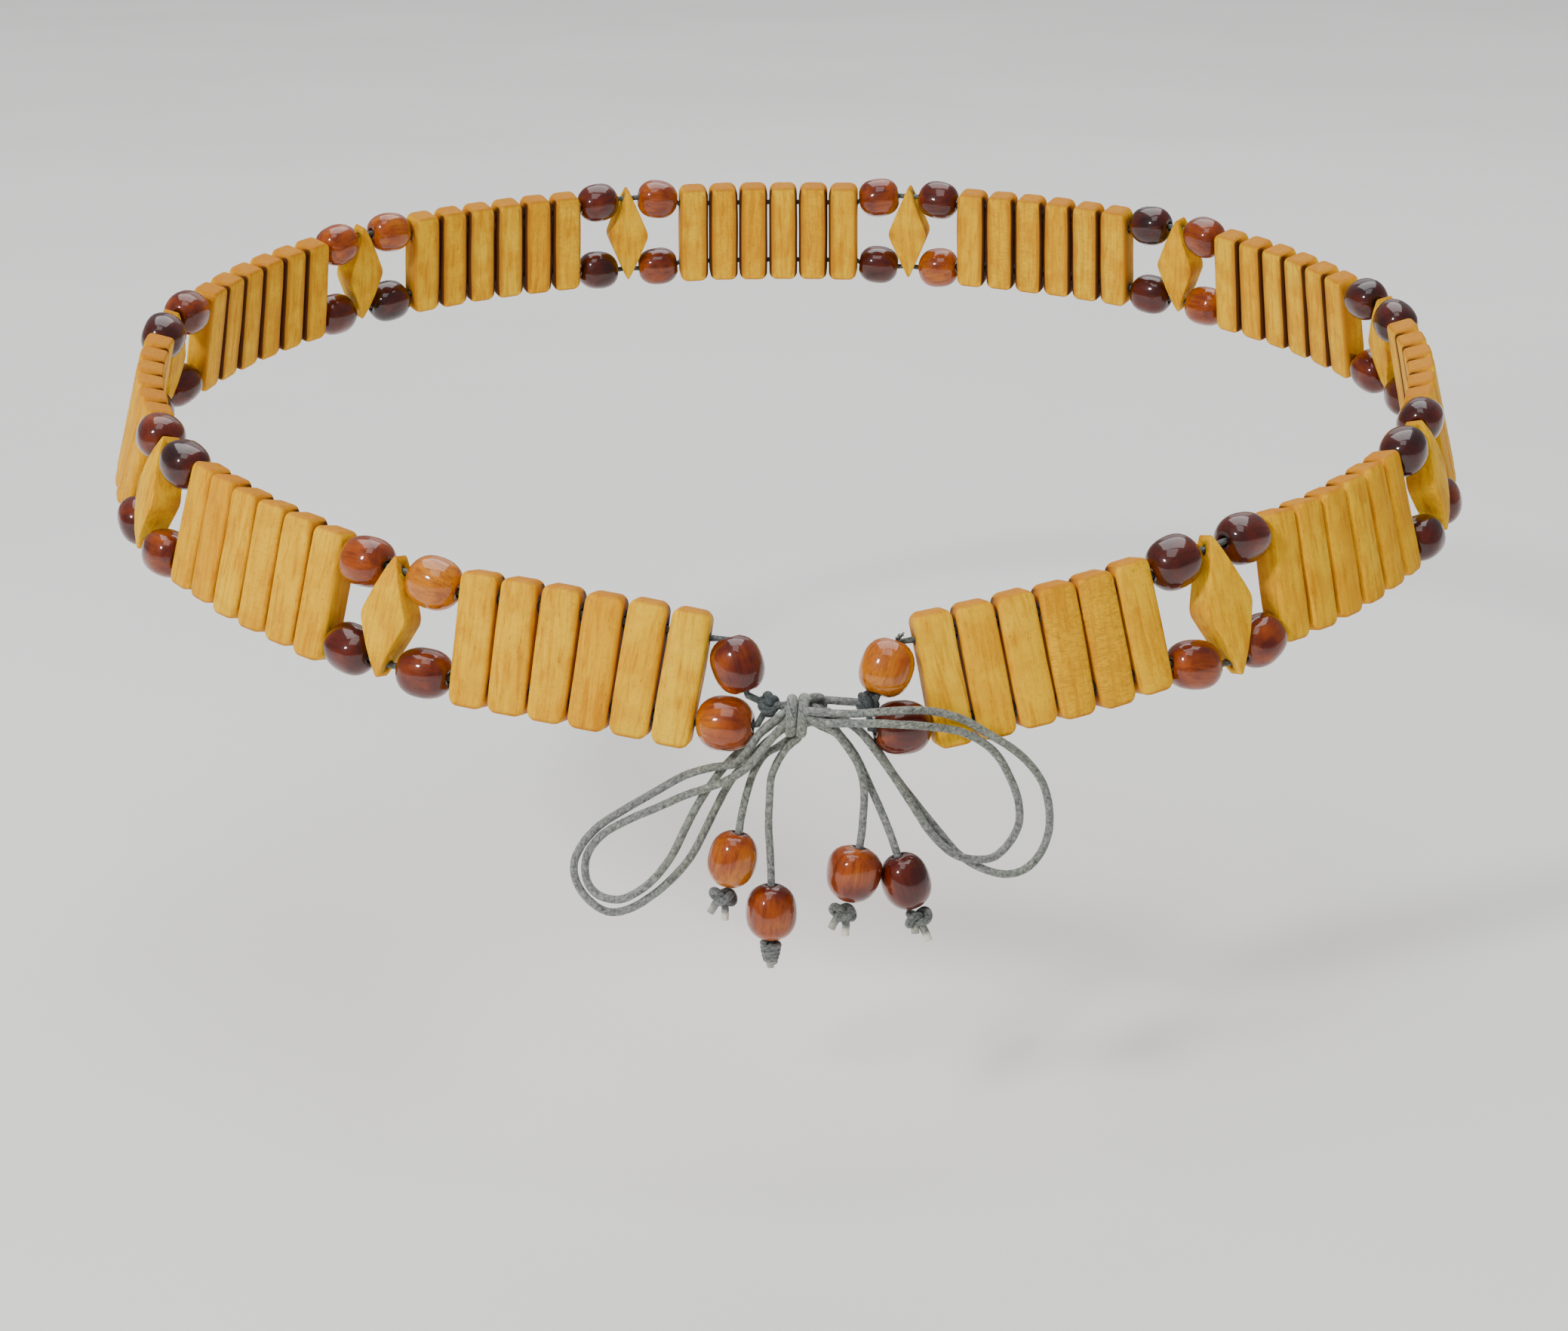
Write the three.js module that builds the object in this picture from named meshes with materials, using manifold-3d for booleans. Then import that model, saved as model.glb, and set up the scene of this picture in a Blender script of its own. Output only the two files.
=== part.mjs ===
// Beaded belt: wooden bars, rhombus links and varnished beads on waxed cord, tied in a bow in front.
// Millimetres, +Z up, front of the belt towards -Y, origin at the centre of the waist opening.
import * as THREE from 'three';
import { ConvexGeometry } from 'three/addons/geometries/ConvexGeometry.js';
import { mergeVertices } from 'three/addons/utils/BufferGeometryUtils.js';
import Module from 'manifold-3d';

const wasm = await Module();
wasm.setup();

// The loop that the belt's inner face follows, an ellipse seen from above that widens downwards
const LOOP_HALF_WIDTH = 143.3;
const LOOP_HALF_DEPTH = 122.4;
const SIDE_FLARE = 0.27;
const FRONT_FLARE = 0.2;
const FRONT_HEIGHT = -18;
const BACK_HEIGHT = 22.5;
const SIDE_LIFT = 4.5;

// The extra drop at the bow, with its reach and place as angles round the loop
const DIP_DEPTH = 9;
const DIP_REACH = 0.19;
const DIP_CENTRE = 0.054;
const DIP_ROUNDING = 0.03;

// Wooden bars
const BAR_LENGTH = 26;
const BAR_WIDTH = 7.3;
const BAR_THICKNESS = 6;
const BAR_CORNER = 1.7;
const BAR_EDGE = 0.9;
const BAR_GAP = 0.7;
const BARS_IN_GROUP = 6;
const BAR_HOLE_INSET = 4.8;
const BAR_BORE = 3;

// Links of beads and rhombus pieces between the groups of bars
const LINK_LENGTH = 27.5;
const LINK_STANDOFF = 4.9;
const LINK_BEAD_NEAR_LIFT = 0.6;
const RHOMBUS_THICKNESS = 6.4;
const RHOMBUS_TIP = 0.9;
const RHOMBUS_HOLE_INSET = 3;
const RHOMBUS_BORE = 2.8;

// Varnished barrel beads
const BEAD_DIAMETER = 10.2;
const BEAD_LENGTH = 9.6;
const BEAD_BORE = 3;
const BEAD_SIDES = 10;
const CORD_SIDES = 8;
const BORE_SIDES = 5;
const BACK_THREAD_SIDES = 3;
const TAIL_BEAD_DIAMETER = 9.2;
const TAIL_BEAD_LENGTH = 10;

// Waxed cord and the clearances between pieces
const CORD = 1.4;
const THREAD = 1.3;
const THREAD_EXIT = 1.1;
const CLEARANCE = 0.3;
const FRONT_GAP_LEAST = 46;
const FRONT_GAP_CENTRE = 4.9;

// Front groups, bar by bar from the bow outwards: lean in degrees (top away from the bow) and rise in mm
const FRONT_GROUPS = {
  left_1: { lean: [-0.8, -0.6, -0.3, 0.8, 2.0, 3.0], rise: [0, 0.3, 0.1, 0.1, -0.1, -0.4] },
  left_2: { lean: [1.1, 2.3, 3.4, 4.1, 3.9, 3.2], rise: [-0.2, 0.2, 0.2, 0.2, 0.3, 0] },
  right_1: { lean: [1.2, 0, -0.7, -0.3, -1.4, -1.6], rise: [0, -0.2, 0, -0.2, 0, 0.5] },
  right_2: { lean: [6, 5.8, 5.3, 5.1, 4.6, 3.9], rise: [0.7, 0.3, 0, -0.2, -0.5, -0.9] },
};

// Rhombus sizes, place along the link and lean; gaps from the bars to the beads before and after it;
// and how far the beads' bores lie beyond the line between the holes, by the bar and by the rhombus
const LINKS = {
  left: { length: 24.4, width: 10.5, shift: 0.2, lean: 0.5, before: 1, after: 0.9, spread: [0.1, 0.1] },
  right: { length: 28.8, width: 11.5, shift: 0, lean: -2.5, before: 0.9, after: 0.9, spread: [0.8, 0.9] },
  back: { length: 25.8, width: 10.8, shift: 0, lean: 0, before: 0.9, after: 0.9, spread: [0.8, 0.6] },
};

// End beads: distance in from the first bar, height, tilt in degrees; end knots the same way
const ENDS = {
  left: {
    upper: { inward: 9.6, height: 4.4, tilt: 61 },
    lower: { inward: 9.4, height: -6.8, tilt: -9 },
    knot: { inward: 16.5, height: -1.9 },
  },
  right: {
    upper: { inward: 9.6, height: 4.6, tilt: 57 },
    lower: { inward: 9.4, height: -7, tilt: -11 },
    knot: { inward: 14.5, height: -0.9 },
  },
};
const END_BEAD_STANDOFF = { near: 3.7, far: 5 };
const END_KNOT_STANDOFF = 4.5;
const END_KNOT_SIZE = 3.5;

// Bow knot about the x axis: two wraps, then the tucked body, as x, half height and half depth
const BOW_CENTRE = [0, -132.6, -26.7];
const BOW_WRAPS = [
  [0, 0], [0.1, 2.9], [0.9, 3.8], [1.7, 3.4], [1.95, 3.2], [2.2, 3.4], [3, 3.8], [3.8, 2.9], [3.9, 0],
];
const BOW_DEPTH_SHARE = 0.8;
const BOW_BODY = [[3.2, 0], [3.3, 2.3], [5.5, 2.5], [7.2, 1.9], [7.6, 0]];
const BOW_BODY_SHIFT = [0, 0.7, 1.6];
const BOW_SIDES = 10;
const TIE_ENDS = { left: [-0.3, -132.3, -24.7], right: [7.9, -131.3, -24.1] };

// Cord routes, chosen by hand
const LOOPS = {
  left_outer: [
    [-0.8, -133.6, -26.1], [-4.5, -134.5, -29], [-7, -135.4, -32.4], [-9.4, -135.2, -35.2],
    [-13.8, -133, -36.8],
    [-19, -131.2, -39.1], [-24.9, -130.8, -42.7], [-30.4, -130.7, -46.1], [-35.4, -130.5, -49.6],
    [-38.7, -130.6, -53.4], [-40.2, -131, -57], [-39.8, -131.8, -60.4], [-37.3, -133, -63.8],
    [-33.7, -134.1, -65.6], [-29.8, -134.6, -64.8], [-25.3, -134.6, -62], [-21.2, -134.4, -58.3],
    [-18, -134, -54.4], [-15.6, -133.3, -50], [-13.3, -132.5, -45.3], [-10.7, -131.9, -40.4],
    [-7.6, -131.8, -36.2], [-3.9, -132, -32.4], [-0.8, -131.9, -29.6],
  ],
  left_inner: [
    [-0.8, -134.4, -28.2], [-3.7, -136.1, -31.2], [-7.4, -137.1, -35.4], [-11.2, -136, -38.3],
    [-14.9, -134.7, -40.3], [-19, -133.3, -42.3], [-24.2, -132.6, -45], [-29.8, -131.9, -47.8],
    [-34.8, -131.3, -51.1], [-37.5, -131.3, -54.7], [-38.1, -131.8, -57.9], [-37.3, -132.6, -60.9],
    [-35.1, -133.6, -62.6], [-31.5, -134.7, -62.8], [-27.7, -135.5, -60.7], [-24.8, -135.6, -58.1],
    [-21.5, -135.1, -53.7], [-19.2, -134.4, -49.1], [-16.8, -133.7, -44.4], [-14, -132.5, -40.2],
    [-11.3, -131.8, -36.8], [-8.2, -131.5, -33.6], [-4.5, -131.8, -30.2], [-0.8, -131.8, -27.1],
  ],
  right_outer: [
    [4.7, -136, -24.7], [8.6, -136.2, -25], [13.2, -136.6, -24.9], [17.7, -137.6, -24.2],
    [21.5, -137.4, -24], [24.6, -136.2, -24.4], [27.8, -134.4, -25.4], [30.7, -133.3, -26.5],
    [33.8, -132.6, -28], [37, -132.4, -30.1], [41.4, -131.8, -33], [45.6, -129.5, -37.4],
    [48.5, -128.2, -42.1], [49.8, -128.1, -47.3], [49.7, -128.4, -51.9], [48, -129.4, -56],
    [45, -130.6, -58.5], [41.3, -131.6, -58.9], [36.8, -132.2, -57.4], [32.4, -132.4, -54.4],
    [28.5, -132.1, -49.8], [24.2, -131.6, -44.4], [20.1, -131.4, -38.9], [16.6, -131.9, -33.3],
    [12.9, -132.4, -29.1], [8.2, -132.4, -26.3],
  ],
  right_inner: [
    [8.2, -137.2, -26.6], [13.2, -137.5, -26.5], [17.1, -138.7, -26.1], [20.7, -139, -26.2],
    [23.7, -138.3, -26.6], [26.9, -136.1, -27.7], [29.8, -134.1, -28.8], [32.7, -133.2, -29.8],
    [36.4, -133, -31.8], [39.4, -131.6, -35], [41.9, -130.4, -39.7], [43.7, -129.8, -44.8],
    [43.9, -129.8, -49.4], [42.1, -130.6, -53], [39.2, -131.9, -55.3], [35.4, -133.5, -55.1],
    [31.6, -134.5, -53.7], [27.4, -134.4, -49.8], [23.8, -133.8, -44.4], [20.4, -133.5, -39],
    [16.9, -133.7, -33.7], [13.5, -134.1, -29.2], [10.9, -134.1, -27.3], [8.2, -134.4, -26.2],
  ],
};
// The last two points of a tail are where its bead begins and ends
const TAILS = {
  left_outer: [
    [0.6, -131.5, -31.6], [-1.6, -131.2, -33.4], [-4, -131.3, -34.9], [-6, -132.6, -37.7],
    [-7.5, -134.6, -41.8], [-8.5, -136.5, -46], [-8.9, -137.4, -48.2], [-11.2, -139, -57.9],
  ],
  left_inner: [
    [1.7, -133.3, -31.3], [0.1, -133.6, -32.7], [-1.5, -134.1, -35], [-2.8, -134.7, -38.1],
    [-3.1, -135.5, -41.4], [-3.3, -136.9, -47], [-3, -138.2, -52.4], [-2.8, -139.5, -57.9],
    [-2.9, -141.3, -67.7],
  ],
  right_inner: [
    [5.3, -135.7, -26.6], [8.3, -136, -28.2], [11.2, -135.2, -31.9], [13.4, -134.8, -35.9],
    [14.4, -135.3, -39.9], [14.3, -136.6, -44.9], [13.6, -138.2, -50.8], [11.3, -140, -60.6],
  ],
  right_outer: [
    [6.4, -133.3, -28.5], [9.8, -133.3, -30.4], [12.5, -132.8, -33.9], [15.1, -132.9, -39.4],
    [17.4, -134.7, -44.2], [19.5, -136.5, -49.1], [20.8, -137.6, -52.8], [23.8, -138.9, -62.2],
  ],
};
// Stop knots under the tail beads: half width along the cord
const STOP_KNOT = [[0, 0], [0.3, 1.5], [1.8, 2], [3.3, 1.2], [4.6, 0]];
const STOP_KNOT_SIDES = 8;
const LOOP_STEPS = 15;
const TAIL_STEPS = 5;

// Colours, roughness of the finishes
const YELLOW_WOOD = { color: 0xdda63c, roughness: 0.6, metalness: 0 };
const RED_WOOD = { color: 0x7a2c14, roughness: 0.2, metalness: 0 };
const GREY_CORD = { color: 0x6d6e68, roughness: 0.75, metalness: 0 };

const belt = new THREE.Group();

// Path of the belt's inner face
function loopPoint(angle, height) {
  const halfWidth = LOOP_HALF_WIDTH - SIDE_FLARE * height;
  const halfDepth = LOOP_HALF_DEPTH - FRONT_FLARE * height;
  return new THREE.Vector3(halfWidth * Math.sin(angle), -halfDepth * Math.cos(angle), height);
}

function pathHeight(angle) {
  const towardsBack = (1 - Math.cos(angle)) / 2;
  const slope = FRONT_HEIGHT + (BACK_HEIGHT - FRONT_HEIGHT) * towardsBack;
  const lift = 4 * SIDE_LIFT * towardsBack * (1 - towardsBack);
  const fromDip = Math.hypot(angle - DIP_CENTRE, DIP_ROUNDING);
  return slope + lift - DIP_DEPTH * Math.exp(-fromDip / DIP_REACH);
}

function pathPoint(angle) {
  return loopPoint(angle, pathHeight(angle));
}

// Arc length along the path, measured from the front of the loop
const PATH_SAMPLES = 1440;
const pathArcs = [0];
for (let i = 1; i <= PATH_SAMPLES; i += 1) {
  const step = (2 * Math.PI) / PATH_SAMPLES;
  const from = pathPoint(-Math.PI + (i - 1) * step);
  pathArcs.push(pathArcs[i - 1] + from.distanceTo(pathPoint(-Math.PI + i * step)));
}
const LOOP_LENGTH = pathArcs[PATH_SAMPLES];
const ARC_AT_FRONT = pathArcs[PATH_SAMPLES / 2];

function angleAtArc(arc) {
  const wrapped = THREE.MathUtils.euclideanModulo(arc + ARC_AT_FRONT, LOOP_LENGTH);
  let i = 1;
  while (pathArcs[i] < wrapped) i += 1;
  const share = (wrapped - pathArcs[i - 1]) / (pathArcs[i] - pathArcs[i - 1]);
  return -Math.PI + ((i - 1 + share) * 2 * Math.PI) / PATH_SAMPLES;
}

// Axes at an arc: along the path, out from the body, and up in the body's surface
function axesAt(arc) {
  const nudge = 0.001;
  const angle = angleAtArc(arc);
  const height = pathHeight(angle);
  const along = pathPoint(angle + nudge).sub(pathPoint(angle - nudge)).normalize();
  const round = loopPoint(angle + nudge, height).sub(loopPoint(angle - nudge, height));
  const rising = loopPoint(angle, height + 1).sub(loopPoint(angle, height - 1));
  const out = new THREE.Vector3().crossVectors(round, rising).normalize();
  const up = new THREE.Vector3().crossVectors(out, along).normalize();
  return { point: pathPoint(angle), along, up, out };
}

function pointAt(arc, height, standoff) {
  const { point, up, out } = axesAt(arc);
  return point.addScaledVector(up, height).addScaledVector(out, standoff);
}

// Placement of a piece on the path; side is -1 to the left of the bow and 1 to the right
function seat(arc, side, lean, rise, standoff) {
  const { point, along, up, out } = axesAt(arc);
  const angle = THREE.MathUtils.degToRad(lean) * side;
  const leaningUp = up.clone().multiplyScalar(Math.cos(angle)).addScaledVector(along, Math.sin(angle));
  const leaningAlong = new THREE.Vector3().crossVectors(leaningUp, out);
  const place = new THREE.Matrix4().makeBasis(leaningAlong, leaningUp, out);
  point.addScaledVector(leaningUp, rise).addScaledVector(out, standoff);
  return place.setPosition(point);
}

// Solids for joining and cutting
function solidOf(geometry, place = new THREE.Matrix4()) {
  const shape = geometry.clone().applyMatrix4(place);
  shape.deleteAttribute('normal');
  shape.deleteAttribute('uv');
  const merged = mergeVertices(shape, 1e-4);
  const vertProperties = new Float32Array(merged.attributes.position.array);
  const triVerts = new Uint32Array(merged.index.array);
  return new wasm.Manifold(new wasm.Mesh({ numProp: 3, vertProperties, triVerts }));
}

function geometryOf(solid) {
  const { vertProperties, triVerts } = solid.getMesh();
  const geometry = new THREE.BufferGeometry();
  geometry.setAttribute('position', new THREE.BufferAttribute(vertProperties, 3));
  geometry.setIndex(new THREE.BufferAttribute(triVerts, 1));
  return geometry;
}

function addMesh(name, geometry, finish, place = new THREE.Matrix4()) {
  const mesh = new THREE.Mesh(geometry, new THREE.MeshStandardMaterial(finish));
  mesh.name = name;
  place.decompose(mesh.position, mesh.quaternion, mesh.scale);
  belt.add(mesh);
}

// Flat piece of wood: the outline at the inner face, at the start of the edge, and drawn in at the face
function block(outline, thickness, edge, inset) {
  const points = [];
  const layers = [[0, 1, 1], [thickness - edge, 1, 1], [thickness, inset.x, inset.y]];
  for (const [depth, shareX, shareY] of layers) {
    for (const [x, y] of outline) points.push(new THREE.Vector3(x * shareX, y * shareY, depth));
  }
  return new ConvexGeometry(points);
}

function barBlock(edge) {
  const x = BAR_WIDTH / 2;
  const y = BAR_LENGTH / 2;
  const innerX = x - BAR_CORNER;
  const innerY = y - BAR_CORNER;
  const quarter = [[x, innerY], [innerX, y]];
  const outline = quarter.flatMap(([a, b]) => [[a, b], [-a, b], [a, -b], [-a, -b]]);
  return block(outline, BAR_THICKNESS, edge, { x: 1 - edge / x, y: 1 - edge / y });
}

function rhombusBlock({ length, width }) {
  const x = width / 2;
  const y = length / 2;
  const tipX = (RHOMBUS_TIP * width) / length;
  const outline = [[x, 0], [-x, 0], [tipX, y - RHOMBUS_TIP], [-tipX, y - RHOMBUS_TIP]];
  outline.push([tipX, RHOMBUS_TIP - y], [-tipX, RHOMBUS_TIP - y]);
  return block(outline, RHOMBUS_THICKNESS, BAR_EDGE, { x: 1 - BAR_EDGE / x, y: 1 - BAR_EDGE / y });
}

// Round bore along the piece's x axis
function boreAlong(width, diameter, y, z) {
  const bore = new THREE.CylinderGeometry(diameter / 2, diameter / 2, 2 * width, BORE_SIDES);
  bore.rotateZ(Math.PI / 2).translate(0, y, z);
  return solidOf(bore);
}

function drilled(geometry, width, diameter, hole, z) {
  const upper = boreAlong(width, diameter, hole, z);
  const lower = boreAlong(width, diameter, -hole, z);
  return geometryOf(solidOf(geometry).subtract(upper).subtract(lower));
}

// Barrel bead about the y axis, drilled, or solid with flat ends for the fused strings
function barrel(diameter, length, bore) {
  const radius = diameter / 2;
  const half = length / 2;
  const drilledTop = [[0.82 * radius, 0.7 * half], [bore / 2, half]];
  const upper = bore > 0 ? drilledTop : [[0.6 * radius, half], [0, half]];
  const lower = upper.map(([r, y]) => [r, -y]).reverse();
  const profile = [...lower, [radius, 0], ...upper];
  if (bore > 0) profile.push(profile[0]);
  return new THREE.LatheGeometry(profile.map(([r, y]) => new THREE.Vector2(r, y)), BEAD_SIDES);
}

// Placement of a bead whose bore runs from one point to another
function beadSeat(from, to) {
  const axis = to.clone().sub(from).normalize();
  const turn = new THREE.Quaternion().setFromUnitVectors(new THREE.Vector3(0, 1, 0), axis);
  const middle = from.clone().lerp(to, 0.5);
  return new THREE.Matrix4().compose(middle, turn, new THREE.Vector3(1, 1, 1));
}

// A cord's centreline that turns only at the given points
class Route extends THREE.Curve {
  constructor(points) {
    super();
    this.points = points;
  }

  getPoint(share) {
    const legs = this.points.length - 1;
    const leg = Math.min(Math.floor(share * legs), legs - 1);
    return this.points[leg].clone().lerp(this.points[leg + 1], share * legs - leg);
  }

  getUtoTmapping(share) {
    return share;
  }
}

function cordTube(points, diameter, sides) {
  const section = new THREE.Shape();
  for (let i = 0; i < sides; i += 1) {
    const turn = (i * 2 * Math.PI) / sides;
    const corner = [(diameter / 2) * Math.cos(turn), (diameter / 2) * Math.sin(turn)];
    if (i === 0) section.moveTo(...corner);
    else section.lineTo(...corner);
  }
  const options = { steps: points.length - 1, bevelEnabled: false, extrudePath: new Route(points) };
  return new THREE.ExtrudeGeometry(section, options);
}

function vectors(points) {
  return points.map(([x, y, z]) => new THREE.Vector3(x, y, z));
}

function spacedAlong(points, steps) {
  return new THREE.CatmullRomCurve3(vectors(points), false, 'centripetal').getSpacedPoints(steps);
}

// Where the groups of bars lie: as many as the loop holds, with the rest left open at the bow
const PITCH = BAR_WIDTH + BAR_GAP;
const GROUP_SPAN = (BARS_IN_GROUP - 1) * PITCH;
const LINK_SPAN = LINK_LENGTH + BAR_WIDTH;
const UNIT = GROUP_SPAN + LINK_SPAN;
const GROUP_COUNT = Math.floor((LOOP_LENGTH - FRONT_GAP_LEAST + LINK_SPAN) / UNIT);
const FRONT_GAP = LOOP_LENGTH - GROUP_COUNT * UNIT + LINK_SPAN;
const BACK_GROUP = (GROUP_COUNT - 1) / 2;
const BAR_HOLE = BAR_LENGTH / 2 - BAR_HOLE_INSET;

function firstArc(side) {
  return FRONT_GAP / 2 + side * FRONT_GAP_CENTRE;
}

// Frames of one group of bars, counted from the bow
function groupSeats(side, group, rows) {
  return rows.lean.map((lean, i) => {
    const distance = firstArc(side) + group * UNIT + i * PITCH;
    return seat(side * distance, side, lean, rows.rise[i], 0);
  });
}

// A point of a bar's bore, from its middle towards either side along the path; row 1 is the upper hole
function barHolePoint(barSeat, row, way = 0) {
  return new THREE.Vector3((way * BAR_WIDTH) / 2, row * BAR_HOLE, BAR_THICKNESS / 2).applyMatrix4(barSeat);
}

function rhombusHole(link) {
  return link.length / 2 - RHOMBUS_HOLE_INSET;
}

// One link: the seat of its rhombus, and for each thread the hole and the two beads' bore ends
function linkPieces(side, group, link, barBefore, barAfter) {
  const middle = firstArc(side) + group * UNIT + GROUP_SPAN + LINK_SPAN / 2 + link.shift;
  const rhombus = seat(side * middle, side, link.lean, 0, LINK_STANDOFF - RHOMBUS_THICKNESS / 2);
  const { along, up, out } = axesAt(side * middle);
  const rows = [1, -1].map((row) => {
    const hole = new THREE.Vector3(0, row * rhombusHole(link), RHOMBUS_THICKNESS / 2).applyMatrix4(rhombus);
    const aim = hole.clone().addScaledVector(up, row * link.spread[1]);
    const beads = [[barBefore, side, link.before], [barAfter, -side, link.after]].map(([bar, way, gap]) => {
      const near = barHolePoint(bar, row, way).addScaledVector(along, way * gap);
      near.addScaledVector(up, row * link.spread[0]).addScaledVector(out, LINK_BEAD_NEAR_LIFT);
      const bore = aim.clone().sub(near).normalize();
      return { near, far: near.clone().addScaledVector(bore, BEAD_LENGTH) };
    });
    return { row, hole, beads };
  });
  return { rhombus, rows };
}

// One end: its two beads, upper first, and its knot
function endPieces(side, end) {
  const start = firstArc(side);
  const beads = [end.upper, end.lower].map(({ inward, height, tilt }) => {
    const angle = THREE.MathUtils.degToRad(tilt);
    const reach = BEAD_LENGTH / 2;
    const boreEnd = (way, standoff) => {
      const arc = side * (start - inward + way * reach * Math.cos(angle));
      return pointAt(arc, height + way * reach * Math.sin(angle), standoff);
    };
    return { near: boreEnd(1, END_BEAD_STANDOFF.near), far: boreEnd(-1, END_BEAD_STANDOFF.far) };
  });
  const knot = pointAt(side * (start - end.knot.inward), end.knot.height, END_KNOT_STANDOFF);
  return { beads, knot };
}

const BACK_BAR = barBlock(0);
const DRILLED_BAR = drilled(barBlock(BAR_EDGE), BAR_WIDTH, BAR_BORE, BAR_HOLE, BAR_THICKNESS / 2);
const BEAD = barrel(BEAD_DIAMETER, BEAD_LENGTH, 0);
const DRILLED_BEAD = barrel(BEAD_DIAMETER, BEAD_LENGTH, BEAD_BORE);
const DRILLED_TAIL_BEAD = barrel(TAIL_BEAD_DIAMETER, TAIL_BEAD_LENGTH, BEAD_BORE);
const SIDES = { left: -1, right: 1 };
const ROW_NAMES = ['upper', 'lower'];
const THREAD_SIDES = 5;

function beyond(from, to, distance) {
  return to.clone().addScaledVector(to.clone().sub(from).normalize(), distance);
}

function addFrontHalf(sideName) {
  const side = SIDES[sideName];
  const link = LINKS[sideName];
  const groups = [0, 1].map((g) => groupSeats(side, g, FRONT_GROUPS[`${sideName}_${g + 1}`]));
  groups.forEach((seats, g) => {
    seats.forEach((place, i) => addMesh(`bar_${sideName}_${g + 1}_${i + 1}`, DRILLED_BAR, YELLOW_WOOD, place));
  });

  const { rhombus, rows } = linkPieces(side, 0, link, groups[0].at(-1), groups[1][0]);
  const middle = RHOMBUS_THICKNESS / 2;
  const cutRhombus = drilled(rhombusBlock(link), link.width, RHOMBUS_BORE, rhombusHole(link), middle);
  addMesh(`rhombus_${sideName}`, cutRhombus, YELLOW_WOOD, rhombus);
  rows.forEach(({ beads }, r) => {
    beads.forEach(({ near, far }, i) => {
      const name = `link_bead_${sideName}_${ROW_NAMES[r]}_${i + 1}`;
      addMesh(name, DRILLED_BEAD, RED_WOOD, beadSeat(near, far));
    });
  });

  const end = endPieces(side, ENDS[sideName]);
  end.beads.forEach(({ near, far }, r) => {
    addMesh(`end_bead_${sideName}_${ROW_NAMES[r]}`, DRILLED_BEAD, RED_WOOD, beadSeat(near, far));
  });
  addThread(sideName, groups, rows, end);
}

// Both threads of a side, with the end knot and the cord that runs on into the bow
function addThread(sideName, groups, rows, end) {
  const side = SIDES[sideName];
  const tubes = rows.map(({ row, hole, beads }, r) => {
    const endBead = end.beads[r];
    const points = [
      end.knot.clone(),
      beyond(endBead.near, endBead.far, THREAD_EXIT), endBead.far, endBead.near,
    ];
    if (row > 0) points.push(beyond(endBead.far, endBead.near, THREAD_EXIT));
    groups.forEach((seats, g) => {
      points.push(barHolePoint(seats[0], row, -side));
      points.push(barHolePoint(seats[1], row), barHolePoint(seats[3], row));
      if (g > 0) return;
      points.push(barHolePoint(seats.at(-1), row, side), beads[0].near, beads[0].far);
      points.push(hole, beads[1].far, beads[1].near);
    });
    points.push(barHolePoint(groups[1].at(-1), row, side));
    return solidOf(cordTube(points, THREAD, THREAD_SIDES));
  });
  const knotShape = new THREE.SphereGeometry(END_KNOT_SIZE / 2, 8, 5);
  const knot = solidOf(knotShape, new THREE.Matrix4().setPosition(end.knot));
  const tie = solidOf(cordTube([end.knot, new THREE.Vector3(...TIE_ENDS[sideName])], CORD, THREAD_SIDES));
  const whole = tubes.reduce((sum, tube) => sum.add(tube), knot.add(tie));
  addMesh(`thread_${sideName}`, geometryOf(whole), GREY_CORD);
}

// The rest of the loop on one side, up to the middle of the group at the back
function addBackString(sideName) {
  const side = SIDES[sideName];
  const link = LINKS.back;
  const rhombusPiece = rhombusBlock(link);
  let before = groupSeats(side, 1, FRONT_GROUPS[`${sideName}_2`]);
  let whole = null;
  const join = (solid) => {
    whole = whole ? whole.add(solid) : solid;
  };
  for (let group = 2; group <= BACK_GROUP; group += 1) {
    const count = group < BACK_GROUP ? BARS_IN_GROUP : BARS_IN_GROUP / 2;
    const level = Array(count).fill(0);
    const seats = groupSeats(side, group, { lean: level.map(() => link.lean), rise: level });
    const { rhombus, rows } = linkPieces(side, group - 1, link, before.at(-1), seats[0]);
    join(solidOf(rhombusPiece, rhombus));
    seats.forEach((place) => join(solidOf(BACK_BAR, place)));
    rows.forEach(({ row, hole, beads }) => {
      beads.forEach(({ near, far }) => join(solidOf(BEAD, beadSeat(near, far))));
      const [beforeMiddle, afterMiddle] = beads.map(({ near, far }) => near.clone().lerp(far, 0.5));
      const points = [beforeMiddle, hole, afterMiddle, ...seats.map((place) => barHolePoint(place, row))];
      if (group > 2) points.unshift(barHolePoint(before.at(-1), row));
      for (let leg = 1; leg < points.length; leg += 1) {
        join(solidOf(cordTube(points.slice(leg - 1, leg + 1), THREAD, BACK_THREAD_SIDES)));
      }
    });
    before = seats;
  }
  addMesh(`back_string_${sideName}`, geometryOf(whole), YELLOW_WOOD);
}

function latheAboutX(profile, sides) {
  return new THREE.LatheGeometry(profile.map(([x, r]) => new THREE.Vector2(r, x)), sides).rotateZ(-Math.PI / 2);
}

function addBow() {
  const wraps = latheAboutX(BOW_WRAPS, BOW_SIDES).scale(1, BOW_DEPTH_SHARE, 1);
  const body = latheAboutX(BOW_BODY, BOW_SIDES).translate(...BOW_BODY_SHIFT);
  const knot = solidOf(wraps).add(solidOf(body));
  addMesh('bow_knot', geometryOf(knot), GREY_CORD, new THREE.Matrix4().setPosition(...BOW_CENTRE));
}

function addLoops() {
  for (const [name, points] of Object.entries(LOOPS)) {
    addMesh(`cord_loop_${name}`, cordTube(spacedAlong(points, LOOP_STEPS), CORD, CORD_SIDES), GREY_CORD);
  }
}

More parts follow.
